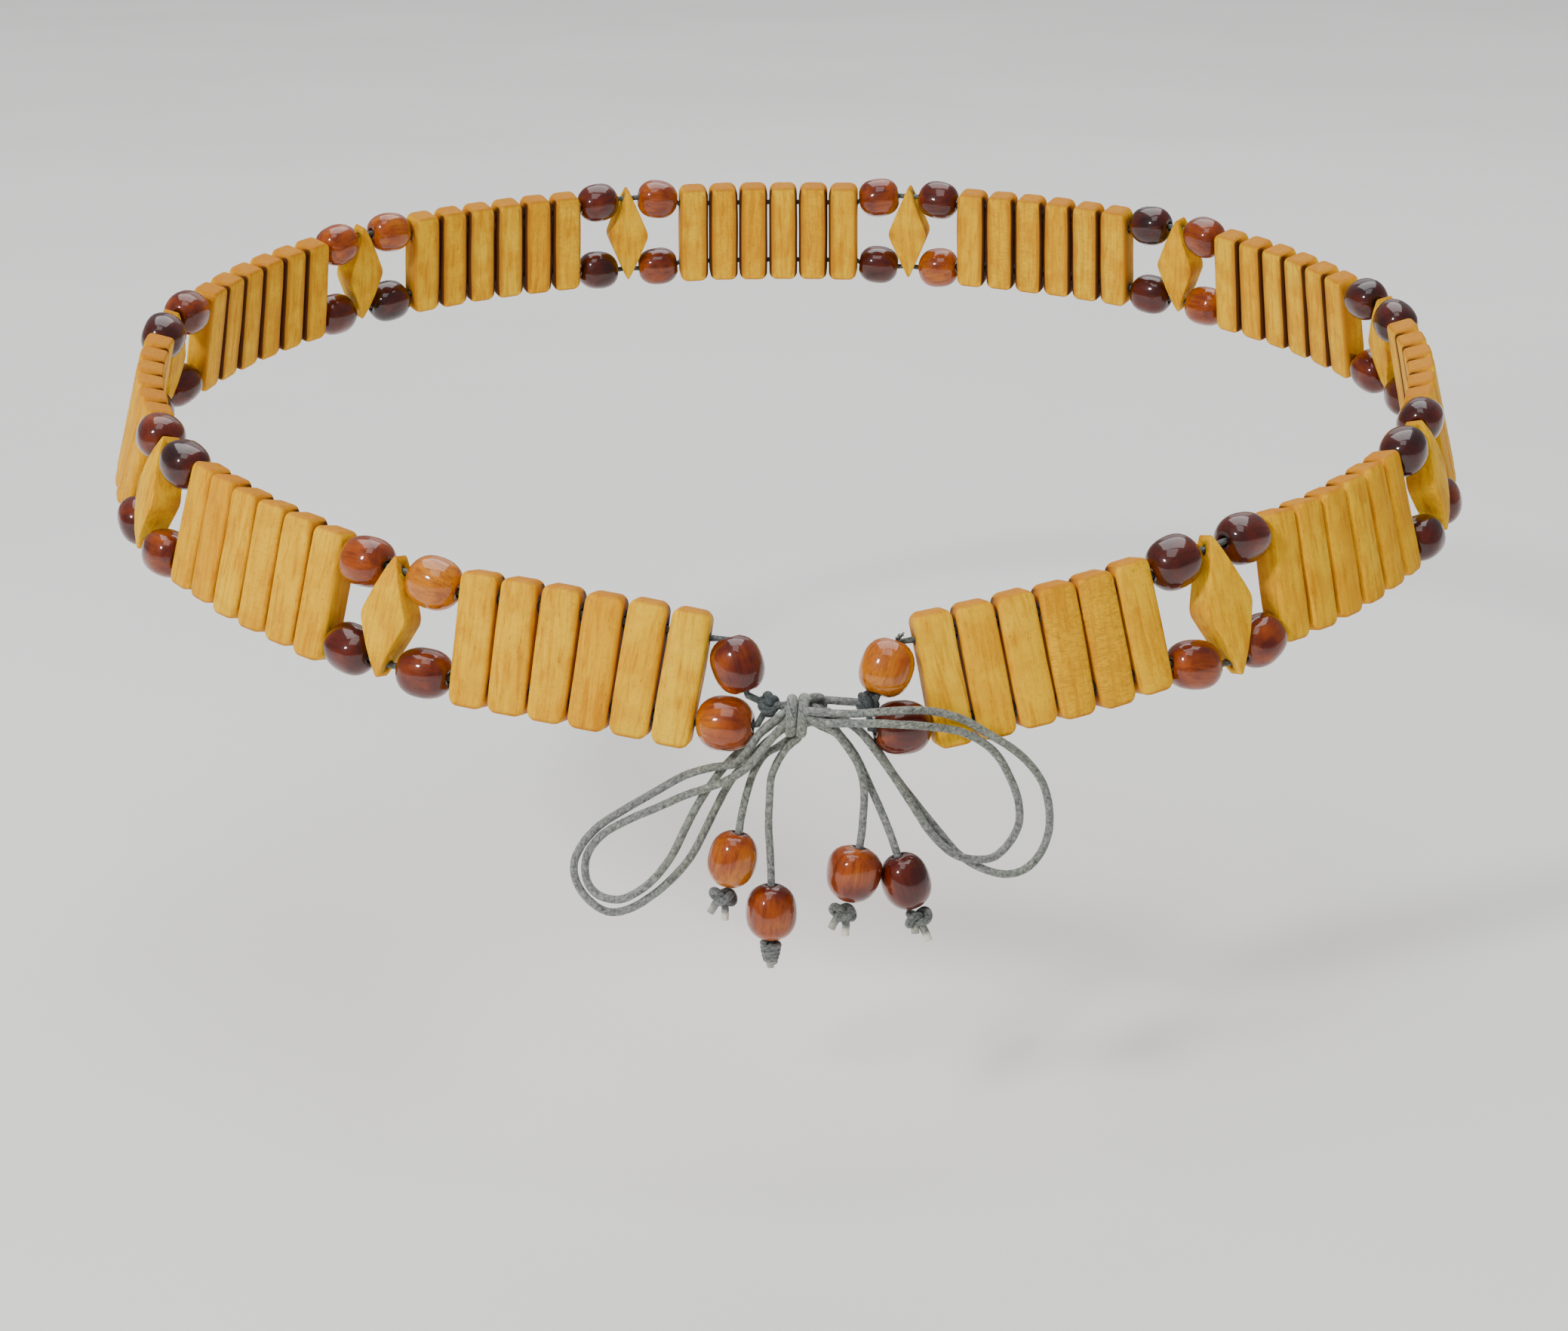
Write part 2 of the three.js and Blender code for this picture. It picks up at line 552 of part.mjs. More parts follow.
// Each tail ends inside its bead, and its stop knot sits under the bead
function addTails() {
  for (const [name, points] of Object.entries(TAILS)) {
    const [top, bottom] = vectors(points.slice(-2));
    addMesh(`cord_tail_${name}`, cordTube(spacedAlong(points, TAIL_STEPS), CORD, CORD_SIDES), GREY_CORD);
    addMesh(`tail_bead_${name}`, DRILLED_TAIL_BEAD, RED_WOOD, beadSeat(bottom, top));
    const knotTop = beyond(top, bottom, CLEARANCE);
    const turn = beadSeat(knotTop, beyond(top, bottom, 1)).setPosition(knotTop);
    const knot = new THREE.LatheGeometry(STOP_KNOT.map(([y, r]) => new THREE.Vector2(r, y)), STOP_KNOT_SIDES);
    addMesh(`stop_knot_${name}`, knot, GREY_CORD, turn);
  }
}

addFrontHalf('left');
addFrontHalf('right');
addBackString('left');
addBackString('right');
addBow();
addLoops();
addTails();

export default belt;
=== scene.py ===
# %% [markdown]
# # Beaded belt
# A loop belt of flat wooden bars in groups of six, joined by links of four varnished beads and one
# rhombus piece, threaded on two cords and tied in front in a bow whose tails end in beads.
# Metres, +Z up, the front towards -Y, the origin at the centre of the waist opening.
#
# ## Set up
# The solid model is loaded first.
# The noise that makes wood and beads uneven gets a fixed seed, so every run makes the same belt.

import math

import bmesh
import bpy
import numpy as np
from mathutils import Matrix, Vector, noise


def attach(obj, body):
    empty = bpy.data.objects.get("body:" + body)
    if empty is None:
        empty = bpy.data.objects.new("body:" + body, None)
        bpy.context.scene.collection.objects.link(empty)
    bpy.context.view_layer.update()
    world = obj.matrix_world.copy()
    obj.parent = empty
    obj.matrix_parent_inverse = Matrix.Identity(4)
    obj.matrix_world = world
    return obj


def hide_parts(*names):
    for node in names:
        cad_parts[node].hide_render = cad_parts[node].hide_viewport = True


NOISE_SEED = 7

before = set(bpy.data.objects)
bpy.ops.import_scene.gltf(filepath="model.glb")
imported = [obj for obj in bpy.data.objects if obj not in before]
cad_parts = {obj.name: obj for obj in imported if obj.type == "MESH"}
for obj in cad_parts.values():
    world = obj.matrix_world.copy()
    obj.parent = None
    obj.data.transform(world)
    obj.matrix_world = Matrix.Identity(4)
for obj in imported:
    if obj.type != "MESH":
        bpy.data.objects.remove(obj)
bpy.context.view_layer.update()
scene = bpy.context.scene
noise.seed_set(NOISE_SEED)

# %% [markdown]
# ## Camera
# The belt is seen from in front and a little above. Place, tilt and lens were found by matching the bars
# and beads that can be measured, so the front of the loop and its far side fall where they should.

# %% Camera
CAMERA_PLACE = (-0.00044, -0.5885, 0.1347)
CAMERA_TILT_DOWN = 0.3211
CAMERA_LENS = 59.94
SENSOR_WIDTH = 36
NEAREST_SEEN = 0.01

camera_data = bpy.data.cameras.new("camera")
camera_data.sensor_width = SENSOR_WIDTH
camera_data.lens = CAMERA_LENS
camera_data.clip_start = NEAREST_SEEN
camera = bpy.data.objects.new("camera", camera_data)
camera.location = CAMERA_PLACE
camera.rotation_euler = (math.pi / 2 - CAMERA_TILT_DOWN, 0, 0)
scene.collection.objects.link(camera)
scene.camera = camera
print("camera", CAMERA_PLACE, "lens", CAMERA_LENS)

# %% [markdown]
# ## Sizes
# The belt is shown as worn. Its path is an ellipse that widens downwards, low in front and high at the
# back, with a further drop at the bow, where the cords pull it down. A few numbers steer the whole loop, so
# no bar or bead needs a place of its own.

# %% Sizes
LOOP_HALF_WIDTH = 0.1433
LOOP_HALF_DEPTH = 0.1224
SIDE_FLARE = 0.27
FRONT_FLARE = 0.2
FRONT_HEIGHT = -0.018
BACK_HEIGHT = 0.0225
SIDE_LIFT = 0.0045
DIP_DEPTH = 0.009
DIP_REACH = 0.19
DIP_CENTRE = 0.054
DIP_ROUNDING = 0.03

BAR_LENGTH = 0.026
BAR_WIDTH = 0.0076
BAR_PITCH = 0.008
BAR_THICKNESS = 0.006
BAR_CORNER = 0.002
BAR_FRONT_EDGE = 0.0009
BAR_BACK_EDGE = 0.0008
BAR_BORE = 0.0024
BAR_WOBBLE = 0.00013
BAR_HOLE = BAR_LENGTH / 2 - 0.0048
BARS_IN_GROUP = 6
BACK_GROUP = 5
LINK_SPAN = 0.0348
GROUP_SPAN = (BARS_IN_GROUP - 1) * BAR_PITCH
UNIT = GROUP_SPAN + LINK_SPAN
LINK_STANDOFF = 0.0049
LINK_BEAD_NEAR_LIFT = 0.0006
RHOMBUS_THICKNESS = 0.0064
RHOMBUS_HOLE_INSET = 0.003
RHOMBUS_BORE = 0.002
RHOMBUS_SIDE_CORNER = 0.0012
RHOMBUS_TIP_CORNER = 0.0013
RHOMBUS_TIP_ALLOWANCE = 0.0004
RHOMBUS_FRONT_EDGE = 0.0009
RHOMBUS_BACK_EDGE = 0.0007
RHOMBUS_TIP_TAPER = 0.5
RHOMBUS_WOBBLE = 0.00012
RHOMBUS_TONE = 0.45
RHOMBUS_RIPPLE = 0.15
BEAD_DIAMETER = 0.0104
BEAD_LENGTH = 0.0098
BEAD_SLIMMING = 0.0003
BEAD_STRETCH = 0.0006
BEAD_BORE = 0.0019
BEAD_WOBBLE = 0.00016
BORE_ROUNDING = 0.0003
BORE_FLARE = 0.0002
TAIL_BEAD_DIAMETER = 0.0094
TAIL_BEAD_LENGTH = 0.0102
CORD = 0.00155
CORD_STEP = 0.0007
KNOT_STEP = 0.0005
TIP_STEP = 0.0003
TAIL = CORD * 0.96
KNOT_CORD = 0.0015
WRAP_CORD = 0.0021
THREAD = 0.0013
FRONT_GAP_CENTRE = 0.0049

# bars by group: lean in degrees, the top away from the bow, and rise in mm, from the bow outwards
FRONT_GROUPS = {
    ("left", 0): dict(leans=[-0.8, -0.6, -0.3, 0.8, 2.0, 3.0], rises=[0, 0.3, 0.1, 0.1, -0.1, -0.4]),
    ("left", 1): dict(leans=[1.1, 2.3, 3.4, 4.1, 3.9, 3.2], rises=[-0.2, 0.2, 0.2, 0.2, 0.3, 0]),
    ("right", 0): dict(leans=[1.2, 0, -0.7, -0.3, -1.4, -1.6], rises=[0, -0.2, 0, -0.2, 0, 0.5]),
    ("right", 1): dict(leans=[6, 5.8, 5.3, 5.1, 4.6, 3.9], rises=[0.7, 0.3, 0, -0.2, -0.5, -0.9]),
}
# before and after are a bead's gaps to its bar, the spreads push its ends apart from the link's middle
LINKS = {
    "left": dict(
        length=0.0244, width=0.0105, shift=0.0002, lean=0.5,
        before=0.001, after=0.0009, bar_spread=0.0001, tip_spread=0.0001,
    ),
    "right": dict(
        length=0.0288, width=0.0115, shift=0, lean=-2.5,
        before=0.0009, after=0.0009, bar_spread=0.0008, tip_spread=0.0009,
    ),
    "back": dict(
        length=0.0258, width=0.0108, shift=0, lean=0,
        before=0.0009, after=0.0009, bar_spread=0.0008, tip_spread=0.0006,
    ),
}
# end beads: distance in from the first bar, height and tilt in degrees; end knots: distance and height
ENDS = {
    "left": dict(beads=[(0.0096, 0.0044, 61), (0.0094, -0.0068, -9)], knot=(0.0165, -0.0019)),
    "right": dict(beads=[(0.0096, 0.0046, 57), (0.0094, -0.007, -11)], knot=(0.0145, -0.0009)),
}
END_BEAD_STANDOFF = (0.0037, 0.005)
END_KNOT_STANDOFF = 0.0045
SIDES = {"left": -1, "right": 1}
print(2 * BACK_GROUP + 1, "groups of", BARS_IN_GROUP, "bars, a unit is", round(UNIT, 4))

# %% [markdown]
# ## Cord routes
# Four loops and four tails of waxed cord leave the knot. They lie as they fell, so each route is a list of
# given points and not a formula. A tail's last two points are where its bead begins and ends.

# %% Cord routes
LOOPS = {
    "left_outer": [
        (-0.0008, -0.1336, -0.0261), (-0.0045, -0.1345, -0.029), (-0.007, -0.1354, -0.0324),
        (-0.0094, -0.1352, -0.0352), (-0.0138, -0.133, -0.0368), (-0.019, -0.1312, -0.0391),
        (-0.0249, -0.1308, -0.0427), (-0.0304, -0.1307, -0.0461), (-0.0354, -0.1305, -0.0496),
        (-0.0387, -0.1306, -0.0534), (-0.0402, -0.131, -0.057), (-0.0398, -0.1318, -0.0604),
        (-0.0373, -0.133, -0.0638), (-0.0337, -0.1341, -0.0656), (-0.0298, -0.1346, -0.0648),
        (-0.0253, -0.1346, -0.062), (-0.0212, -0.1344, -0.0583), (-0.018, -0.134, -0.0544),
        (-0.0156, -0.1333, -0.05), (-0.0133, -0.1325, -0.0453), (-0.0107, -0.1319, -0.0404),
        (-0.0076, -0.1318, -0.0362), (-0.0039, -0.132, -0.0324), (-0.0008, -0.1319, -0.0296),
    ],
    "left_inner": [
        (-0.0008, -0.1344, -0.0282), (-0.0037, -0.1361, -0.0312), (-0.0074, -0.1371, -0.0354),
        (-0.0112, -0.136, -0.0383), (-0.0149, -0.1347, -0.0403), (-0.019, -0.1333, -0.0423),
        (-0.0242, -0.1326, -0.045), (-0.0298, -0.1319, -0.0478), (-0.0348, -0.1313, -0.0511),
        (-0.0375, -0.1313, -0.0547), (-0.0381, -0.1318, -0.0579), (-0.0373, -0.1326, -0.0609),
        (-0.0351, -0.1336, -0.0626), (-0.0315, -0.1347, -0.0628), (-0.0277, -0.1355, -0.0607),
        (-0.0248, -0.1356, -0.0581), (-0.0215, -0.1351, -0.0537), (-0.0192, -0.1344, -0.0491),
        (-0.0168, -0.1337, -0.0444), (-0.014, -0.1325, -0.0402), (-0.0113, -0.1318, -0.0368),
        (-0.0082, -0.1315, -0.0336), (-0.0045, -0.1318, -0.0302), (-0.0008, -0.1318, -0.0271),
    ],
    "right_outer": [
        (0.0047, -0.136, -0.0247), (0.0086, -0.1362, -0.025), (0.0132, -0.1366, -0.0249),
        (0.0177, -0.1376, -0.0242), (0.0215, -0.1374, -0.024), (0.0246, -0.1362, -0.0244),
        (0.0278, -0.1344, -0.0254), (0.0307, -0.1333, -0.0265), (0.0338, -0.1326, -0.028),
        (0.037, -0.1324, -0.0301), (0.0414, -0.1318, -0.033), (0.0456, -0.1295, -0.0374),
        (0.0485, -0.1282, -0.0421), (0.0498, -0.1281, -0.0473), (0.0497, -0.1284, -0.0519),
        (0.048, -0.1294, -0.056), (0.045, -0.1306, -0.0585), (0.0413, -0.1316, -0.0589),
        (0.0368, -0.1322, -0.0574), (0.0324, -0.1324, -0.0544), (0.0285, -0.1321, -0.0498),
        (0.0242, -0.1316, -0.0444), (0.0201, -0.1314, -0.0389), (0.0166, -0.1319, -0.0333),
        (0.0129, -0.1324, -0.0291), (0.0082, -0.1324, -0.0263),
    ],
    "right_inner": [
        (0.0082, -0.1372, -0.0266), (0.0132, -0.1375, -0.0265), (0.0171, -0.1387, -0.0261),
        (0.0207, -0.139, -0.0262), (0.0237, -0.1383, -0.0266), (0.0269, -0.1361, -0.0277),
        (0.0298, -0.1341, -0.0288), (0.0327, -0.1332, -0.0298), (0.0364, -0.133, -0.0318),
        (0.0394, -0.1316, -0.035), (0.0419, -0.1304, -0.0397), (0.0437, -0.1298, -0.0448),
        (0.0439, -0.1298, -0.0494), (0.0421, -0.1306, -0.053), (0.0392, -0.1319, -0.0553),
        (0.0354, -0.1335, -0.0551), (0.0316, -0.1345, -0.0537), (0.0274, -0.1344, -0.0498),
        (0.0238, -0.1338, -0.0444), (0.0204, -0.1335, -0.039), (0.0169, -0.1337, -0.0337),
        (0.0135, -0.1341, -0.0292), (0.0109, -0.1341, -0.0273), (0.0082, -0.1344, -0.0262),
    ],
}
TAILS = {
    "left_outer": [
        (0.0006, -0.1315, -0.0316), (-0.0016, -0.1312, -0.0334), (-0.004, -0.1313, -0.0349),
        (-0.006, -0.1326, -0.0377), (-0.0075, -0.1346, -0.0418), (-0.0085, -0.1365, -0.046),
        (-0.0089, -0.1374, -0.0482), (-0.0112, -0.139, -0.0579),
    ],
    "left_inner": [
        (0.0017, -0.1333, -0.0313), (0.0001, -0.1336, -0.0327), (-0.0015, -0.1341, -0.035),
        (-0.0028, -0.1347, -0.0381), (-0.0031, -0.1355, -0.0414), (-0.0033, -0.1369, -0.047),
        (-0.003, -0.1382, -0.0524), (-0.0028, -0.1395, -0.0579), (-0.0029, -0.1413, -0.0677),
    ],
    "right_inner": [
        (0.0053, -0.1357, -0.0266), (0.0083, -0.136, -0.0282), (0.0112, -0.1352, -0.0319),
        (0.0134, -0.1348, -0.0359), (0.0144, -0.1353, -0.0399), (0.0143, -0.1366, -0.0449),
        (0.0136, -0.1382, -0.0508), (0.0113, -0.14, -0.0606),
    ],
    "right_outer": [
        (0.0064, -0.1333, -0.0285), (0.0098, -0.1333, -0.0304), (0.0125, -0.1328, -0.0339),
        (0.0151, -0.1329, -0.0394), (0.0174, -0.1347, -0.0442), (0.0195, -0.1365, -0.0491),
        (0.0208, -0.1376, -0.0528), (0.0238, -0.1389, -0.0622),
    ],
}

# %% [markdown]
# ## The belt's path
# Bars, beads and rhombus pieces are strung one after the other, so each sits by its distance along the path
# from the middle of the front, on axes along the path, up the loop's flared face and out from it.

# %% Path
def loop_point(angle, height):
    half_width = LOOP_HALF_WIDTH - SIDE_FLARE * height
    half_depth = LOOP_HALF_DEPTH - FRONT_FLARE * height
    return Vector((half_width * math.sin(angle), -half_depth * math.cos(angle), height))


def path_height(angle):
    to_back = (1 - math.cos(angle)) / 2
    slope = FRONT_HEIGHT + (BACK_HEIGHT - FRONT_HEIGHT) * to_back
    lift = 4 * SIDE_LIFT * to_back * (1 - to_back)
    from_dip = math.hypot(angle - DIP_CENTRE, DIP_ROUNDING)
    return slope + lift - DIP_DEPTH * math.exp(-from_dip / DIP_REACH)


def path_point(angle):
    return loop_point(angle, path_height(angle))


SAMPLES = 1440
sample_angles = np.linspace(-math.pi, math.pi, SAMPLES + 1)
sample_points = np.array([path_point(a) for a in sample_angles])
sample_arcs = np.concatenate([[0], np.cumsum(np.linalg.norm(np.diff(sample_points, axis=0), axis=1))])
LOOP_LENGTH = sample_arcs[-1]
FRONT_GAP = LOOP_LENGTH - (2 * BACK_GROUP + 1) * UNIT + LINK_SPAN


def angle_at(arc):
    wrapped = (arc + sample_arcs[SAMPLES // 2]) % LOOP_LENGTH
    return float(np.interp(wrapped, sample_arcs, sample_angles))


def axes_at(arc):
    """The path's point, and the directions along it, up the loop's flared face and out from it."""
    angle = angle_at(arc)
    height = path_height(angle)
    nudge = 0.001
    along = (path_point(angle + nudge) - path_point(angle - nudge)).normalized()
    across = loop_point(angle + nudge, height) - loop_point(angle - nudge, height)
    rising = loop_point(angle, height + nudge) - loop_point(angle, height - nudge)
    out = across.cross(rising).normalized()
    return path_point(angle), along, out.cross(along), out


def point_at(arc, height, standoff):
    point, along, up, out = axes_at(arc)
    return point + up * height + out * standoff


print("loop", round(LOOP_LENGTH, 4), "front gap", round(FRONT_GAP, 4))

# %% [markdown]
# ## Places of the pieces
# Bars lean and rise a little one by one, as they do when worn. Each bar's seat gives the places of its two
# holes, and the holes before and after a link give the places of its beads.

# %% Places of the pieces
def frame_of(x, y, z, origin):
    rows = [[x[i], y[i], z[i], origin[i]] for i in range(3)]
    return Matrix((*rows, (0, 0, 0, 1)))


def seat(arc, side, lean, rise, standoff):
    point, along, up, out = axes_at(arc)
    angle = math.radians(lean) * side
    leaning_up = up * math.cos(angle) + along * math.sin(angle)
    leaning_along = leaning_up.cross(out)
    return frame_of(leaning_along, leaning_up, out, point + leaning_up * rise + out * standoff)


def first_arc(side):
    return FRONT_GAP / 2 + side * FRONT_GAP_CENTRE


def group_seats(side_name, group):
    side = SIDES[side_name]
    count = BARS_IN_GROUP if group < BACK_GROUP else BARS_IN_GROUP // 2
    group_looks = FRONT_GROUPS.get((side_name, group), dict(leans=[0] * count, rises=[0] * count))
    start = first_arc(side) + group * UNIT
    seats = []
    for i, (lean, rise) in enumerate(zip(group_looks["leans"], group_looks["rises"])):
        seats.append(seat(side * (start + i * BAR_PITCH), side, lean, rise / 1000, 0))
    return seats


def bar_hole(bar, row, way=0):
    return bar @ Vector((way * BAR_WIDTH / 2, row * BAR_HOLE, BAR_THICKNESS / 2))


def link_of(side_name, group):
    return LINKS[side_name] if group == 0 else LINKS["back"]


def link_pieces(side_name, group, bar_before, bar_after):
    """The rhombus's seat, and for the upper and lower thread its hole and the two beads' bores."""
    side, link = SIDES[side_name], link_of(side_name, group)
    middle = side * (first_arc(side) + group * UNIT + GROUP_SPAN + LINK_SPAN / 2 + link["shift"])
    rhombus = seat(middle, side, link["lean"], 0, LINK_STANDOFF - RHOMBUS_THICKNESS / 2)
    _, along, up, out = axes_at(middle)
    rows = []
    for row in (1, -1):
        inset = link["length"] / 2 - RHOMBUS_HOLE_INSET
        hole = rhombus @ Vector((0, row * inset, RHOMBUS_THICKNESS / 2))
        aim = hole + up * row * link["tip_spread"]
        beads = []
        for bar, way, gap in ((bar_before, side, link["before"]), (bar_after, -side, link["after"])):
            near = bar_hole(bar, row, way) + along * way * gap
            near += up * row * link["bar_spread"] + out * LINK_BEAD_NEAR_LIFT
            beads.append((near, near + (aim - near).normalized() * BEAD_LENGTH))
        rows.append((row, hole, beads))
    return rhombus, rows


def end_pieces(side_name):
    side, end = SIDES[side_name], ENDS[side_name]
    start = first_arc(side)
    beads = []
    for inward, height, tilt in end["beads"]:
        angle = math.radians(tilt)
        ends = []
        for way, standoff in ((1, END_BEAD_STANDOFF[0]), (-1, END_BEAD_STANDOFF[1])):
            reach = way * BEAD_LENGTH / 2
            arc = side * (start - inward + reach * math.cos(angle))
            ends.append(point_at(arc, height + reach * math.sin(angle), standoff))
        beads.append(tuple(ends))
    inward, height = end["knot"]
    return beads, point_at(side * (start - inward), height, END_KNOT_STANDOFF)

# %% [markdown]
# ## Materials
# The bars are dyed yellow and the beads varnished red-brown. Painted pictures would stretch over so many
# small pieces, so the finishes are made of noise, read at wood coordinates in millimetres that each piece
# carries with its tone and how close a point is to its rim. These helpers keep the node trees short.

# %% Node helpers
def add_node(tree, kind, values=None, **settings):
    """A node with its settings and inputs; an input is a number, a colour or another node's socket."""
    node = tree.nodes.new(kind)
    for key, value in settings.items():
        setattr(node, key, value)
    for key, value in (values or {}).items():
        if isinstance(value, bpy.types.NodeSocket):
            tree.links.new(value, node.inputs[key])
        else:
            node.inputs[key].default_value = value
    return node


def attribute(tree, name, output="Fac"):
    return add_node(tree, "ShaderNodeAttribute", attribute_name=name).outputs[output]


def maths(tree, operation, first, second=0.0):
    return add_node(tree, "ShaderNodeMath", {0: first, 1: second}, operation=operation).outputs[0]


def remap(tree, value, low, high, to_low=0.0, to_high=1.0):
    values = {"Value": value, "From Min": low, "From Max": high, "To Min": to_low, "To Max": to_high}
    return add_node(tree, "ShaderNodeMapRange", values, interpolation_type="SMOOTHSTEP").outputs[0]


def stretched(tree, vector, stretch):
    return add_node(tree, "ShaderNodeVectorMath", {0: vector, 1: stretch}, operation="MULTIPLY").outputs[0]


def noise_of(tree, vector, scale, detail=3.0, roughness=0.55, distortion=0.0):
    values = {
        "Vector": vector, "Scale": scale, "Detail": detail, "Roughness": roughness, "Distortion": distortion,
    }
    return add_node(tree, "ShaderNodeTexNoise", values).outputs["Fac"]


def blend(tree, factor, first, second, mode="MIX"):
    node = add_node(tree, "ShaderNodeMix", data_type="RGBA", blend_type=mode)
    for key, value in ((0, factor), (6, first), (7, second)):
        if isinstance(value, bpy.types.NodeSocket):
            tree.links.new(value, node.inputs[key])
        else:
            node.inputs[key].default_value = value
    return node.outputs[2]


def ramp(tree, factor, stops):
    node = add_node(tree, "ShaderNodeValToRGB", {"Fac": factor})
    elements = node.color_ramp.elements
    while len(elements) < len(stops):
        elements.new(0.5)
    for element, (place, colour) in zip(elements, stops):
        element.position = place
        element.color = (*colour, 1)
    return node.outputs["Color"]


def bump(tree, height, strength, distance):
    values = {"Height": height, "Strength": strength, "Distance": distance}
    return add_node(tree, "ShaderNodeBump", values).outputs[0]


def new_material(name, values):
    material = bpy.data.materials.new(name)
    material.use_nodes = True
    tree = material.node_tree
    tree.nodes.clear()
    shader = add_node(tree, "ShaderNodeBsdfPrincipled", values)
    add_node(tree, "ShaderNodeOutputMaterial", {"Surface": shader.outputs[0]})
    print("material", name)
    return material, tree, shader


def feed(tree, shader, **sockets):
    names = {"colour": "Base Color", "roughness": "Roughness", "normal": "Normal", "coat": "Coat Normal"}
    for key, socket in sockets.items():
        tree.links.new(socket, shader.inputs[names[key]])

# %% [markdown]
# ## Wood figure
# Both woods show streaks and fine pores along the grain, a ripple across it and broad patches. Noise
# stretched along one axis gives each of them. One node group makes them for both materials.

# %% Wood figure
STREAK_STRETCH = (1.1, 0.1, 1.1)
PORE_STRETCH = (6, 0.9, 6)
RIPPLE_STRETCH = (0.55, 2.3, 0.55)
PATCH_SCALE = 0.16
figure = bpy.data.node_groups.new("wood figure", "ShaderNodeTree")
figure.interface.new_socket("Place", in_out="INPUT", socket_type="NodeSocketVector")
place = figure.nodes.new("NodeGroupInput").outputs["Place"]
streaks = noise_of(figure, stretched(figure, place, STREAK_STRETCH), 1, 6, 0.66, 0.6)
pores = remap(figure, noise_of(figure, stretched(figure, place, PORE_STRETCH), 1, 2), 0.6, 0.74)
ripple = noise_of(figure, stretched(figure, place, RIPPLE_STRETCH), 1, 3, 0.5, 1.2)
patches = noise_of(figure, place, PATCH_SCALE, 2)
ridges = maths(figure, "ADD", streaks, maths(figure, "MULTIPLY", ripple, 0.5))
figure_parts = {
    "Streaks": streaks, "Pores": pores, "Ripple": ripple, "Patches": patches,
    "Height": maths(figure, "SUBTRACT", ridges, pores),
}
for key in figure_parts:
    figure.interface.new_socket(key, in_out="OUTPUT", socket_type="NodeSocketFloat")
figure_output = figure.nodes.new("NodeGroupOutput")
for key, socket in figure_parts.items():
    figure.links.new(socket, figure_output.inputs[key])


def figure_in(tree):
    group = add_node(tree, "ShaderNodeGroup", node_tree=figure)
    tree.links.new(attribute(tree, "figure", "Vector"), group.inputs["Place"])
    return group.outputs


print("wood figure gives", ", ".join(figure_parts))

# %% [markdown]
# ## Yellow wood
# The bars and rhombus pieces are smooth, dyed mustard yellow and hardly shiny. A ramp turns each piece's tone
# into pale, gold or orange, the figure darkens it, and painted shade turns the rim brown, darkest where bars
# meet.

# %% Yellow wood
YELLOW = dict(
    patch=(0.80, 0.36, 0.006, 1), streak=(0.74, 0.55, 0.30, 1), ripple=(0.60, 0.28, 0.012, 1),
    pore=(0.28, 0.10, 0.008, 1), edge_shade=(0.46, 0.150, 0.012, 1), shade=(0.060, 0.014, 0.004, 1),
)
yellow_wood, tree, shader = new_material("yellow wood", {"Specular IOR Level": 0.07})
wood = figure_in(tree)
colour = ramp(tree, attribute(tree, "tone"), [
    (0, (0.96, 0.62, 0.030)), (0.5, (0.95, 0.52, 0.006)), (1, (0.80, 0.33, 0.002)),
])
colour = blend(tree, remap(tree, wood["Patches"], 0.42, 0.62, 0, 0.6), colour, YELLOW["patch"])
streak = remap(tree, wood["Streaks"], 0.42, 0.68, 0, 0.85)
colour = blend(tree, streak, colour, YELLOW["streak"], "MULTIPLY")
ripple_share = maths(tree, "MULTIPLY", remap(tree, wood["Ripple"], 0.47, 0.6), attribute(tree, "ripple"))
colour = blend(tree, ripple_share, colour, YELLOW["ripple"])
colour = blend(tree, maths(tree, "MULTIPLY", wood["Pores"], 0.6), colour, YELLOW["pore"])
# painted shade: the rim turns brown on edges and ends, and near black on the sides between bars
rim = attribute(tree, "rim")
colour = blend(tree, remap(tree, rim, 0, 0.45, 0, 0.75), colour, YELLOW["edge_shade"])
colour = blend(tree, remap(tree, rim, 0.42, 0.95, 0, 0.95), colour, YELLOW["shade"])
feed(tree, shader, colour=colour, roughness=remap(tree, wood["Streaks"], 0.3, 0.8, 0.42, 0.62),
     normal=bump(tree, wood["Height"], 0.35, 0.0002))

# %% [markdown]
# ## Varnished wood
# The beads are hardwood under a thick clear varnish, from orange to nearly black. A clear coat over a rough
# base gives two layers of shine, as varnish does, and the coat stops where painted shade darkens the mouth of
# each bore.

# %% Varnished wood
VARNISHED = dict(streak=(0.36, 0.20, 0.16, 1), pore=(0.02, 0.004, 0.003, 1), bore=(0.015, 0.003, 0.003, 1))
varnished_wood, tree, shader = new_material("varnished wood", {
    "Specular IOR Level": 0.12, "Coat Weight": 1, "Coat Roughness": 0.07, "Coat IOR": 1.5,
})
wood = figure_in(tree)
tone = maths(tree, "ADD", attribute(tree, "tone"), remap(tree, wood["Patches"], 0.3, 0.7, -0.12, 0.12))
colour = ramp(tree, tone, [
    (0, (0.60, 0.190, 0.001)), (0.3, (0.36, 0.064, 0.001)),
    (0.6, (0.12, 0.010, 0.001)), (1, (0.024, 0.003, 0.003)),
])
streak = remap(tree, wood["Streaks"], 0.42, 0.66, 0, 0.65)
colour = blend(tree, streak, colour, VARNISHED["streak"], "MULTIPLY")
colour = blend(tree, maths(tree, "MULTIPLY", wood["Pores"], 0.5), colour, VARNISHED["pore"])
rim = attribute(tree, "rim")
# painted shade in each bore and round its mouth
colour = blend(tree, maths(tree, "MULTIPLY", rim, 0.85), colour, VARNISHED["bore"])
tree.links.new(maths(tree, "SUBTRACT", 1, rim), shader.inputs["Coat Weight"])
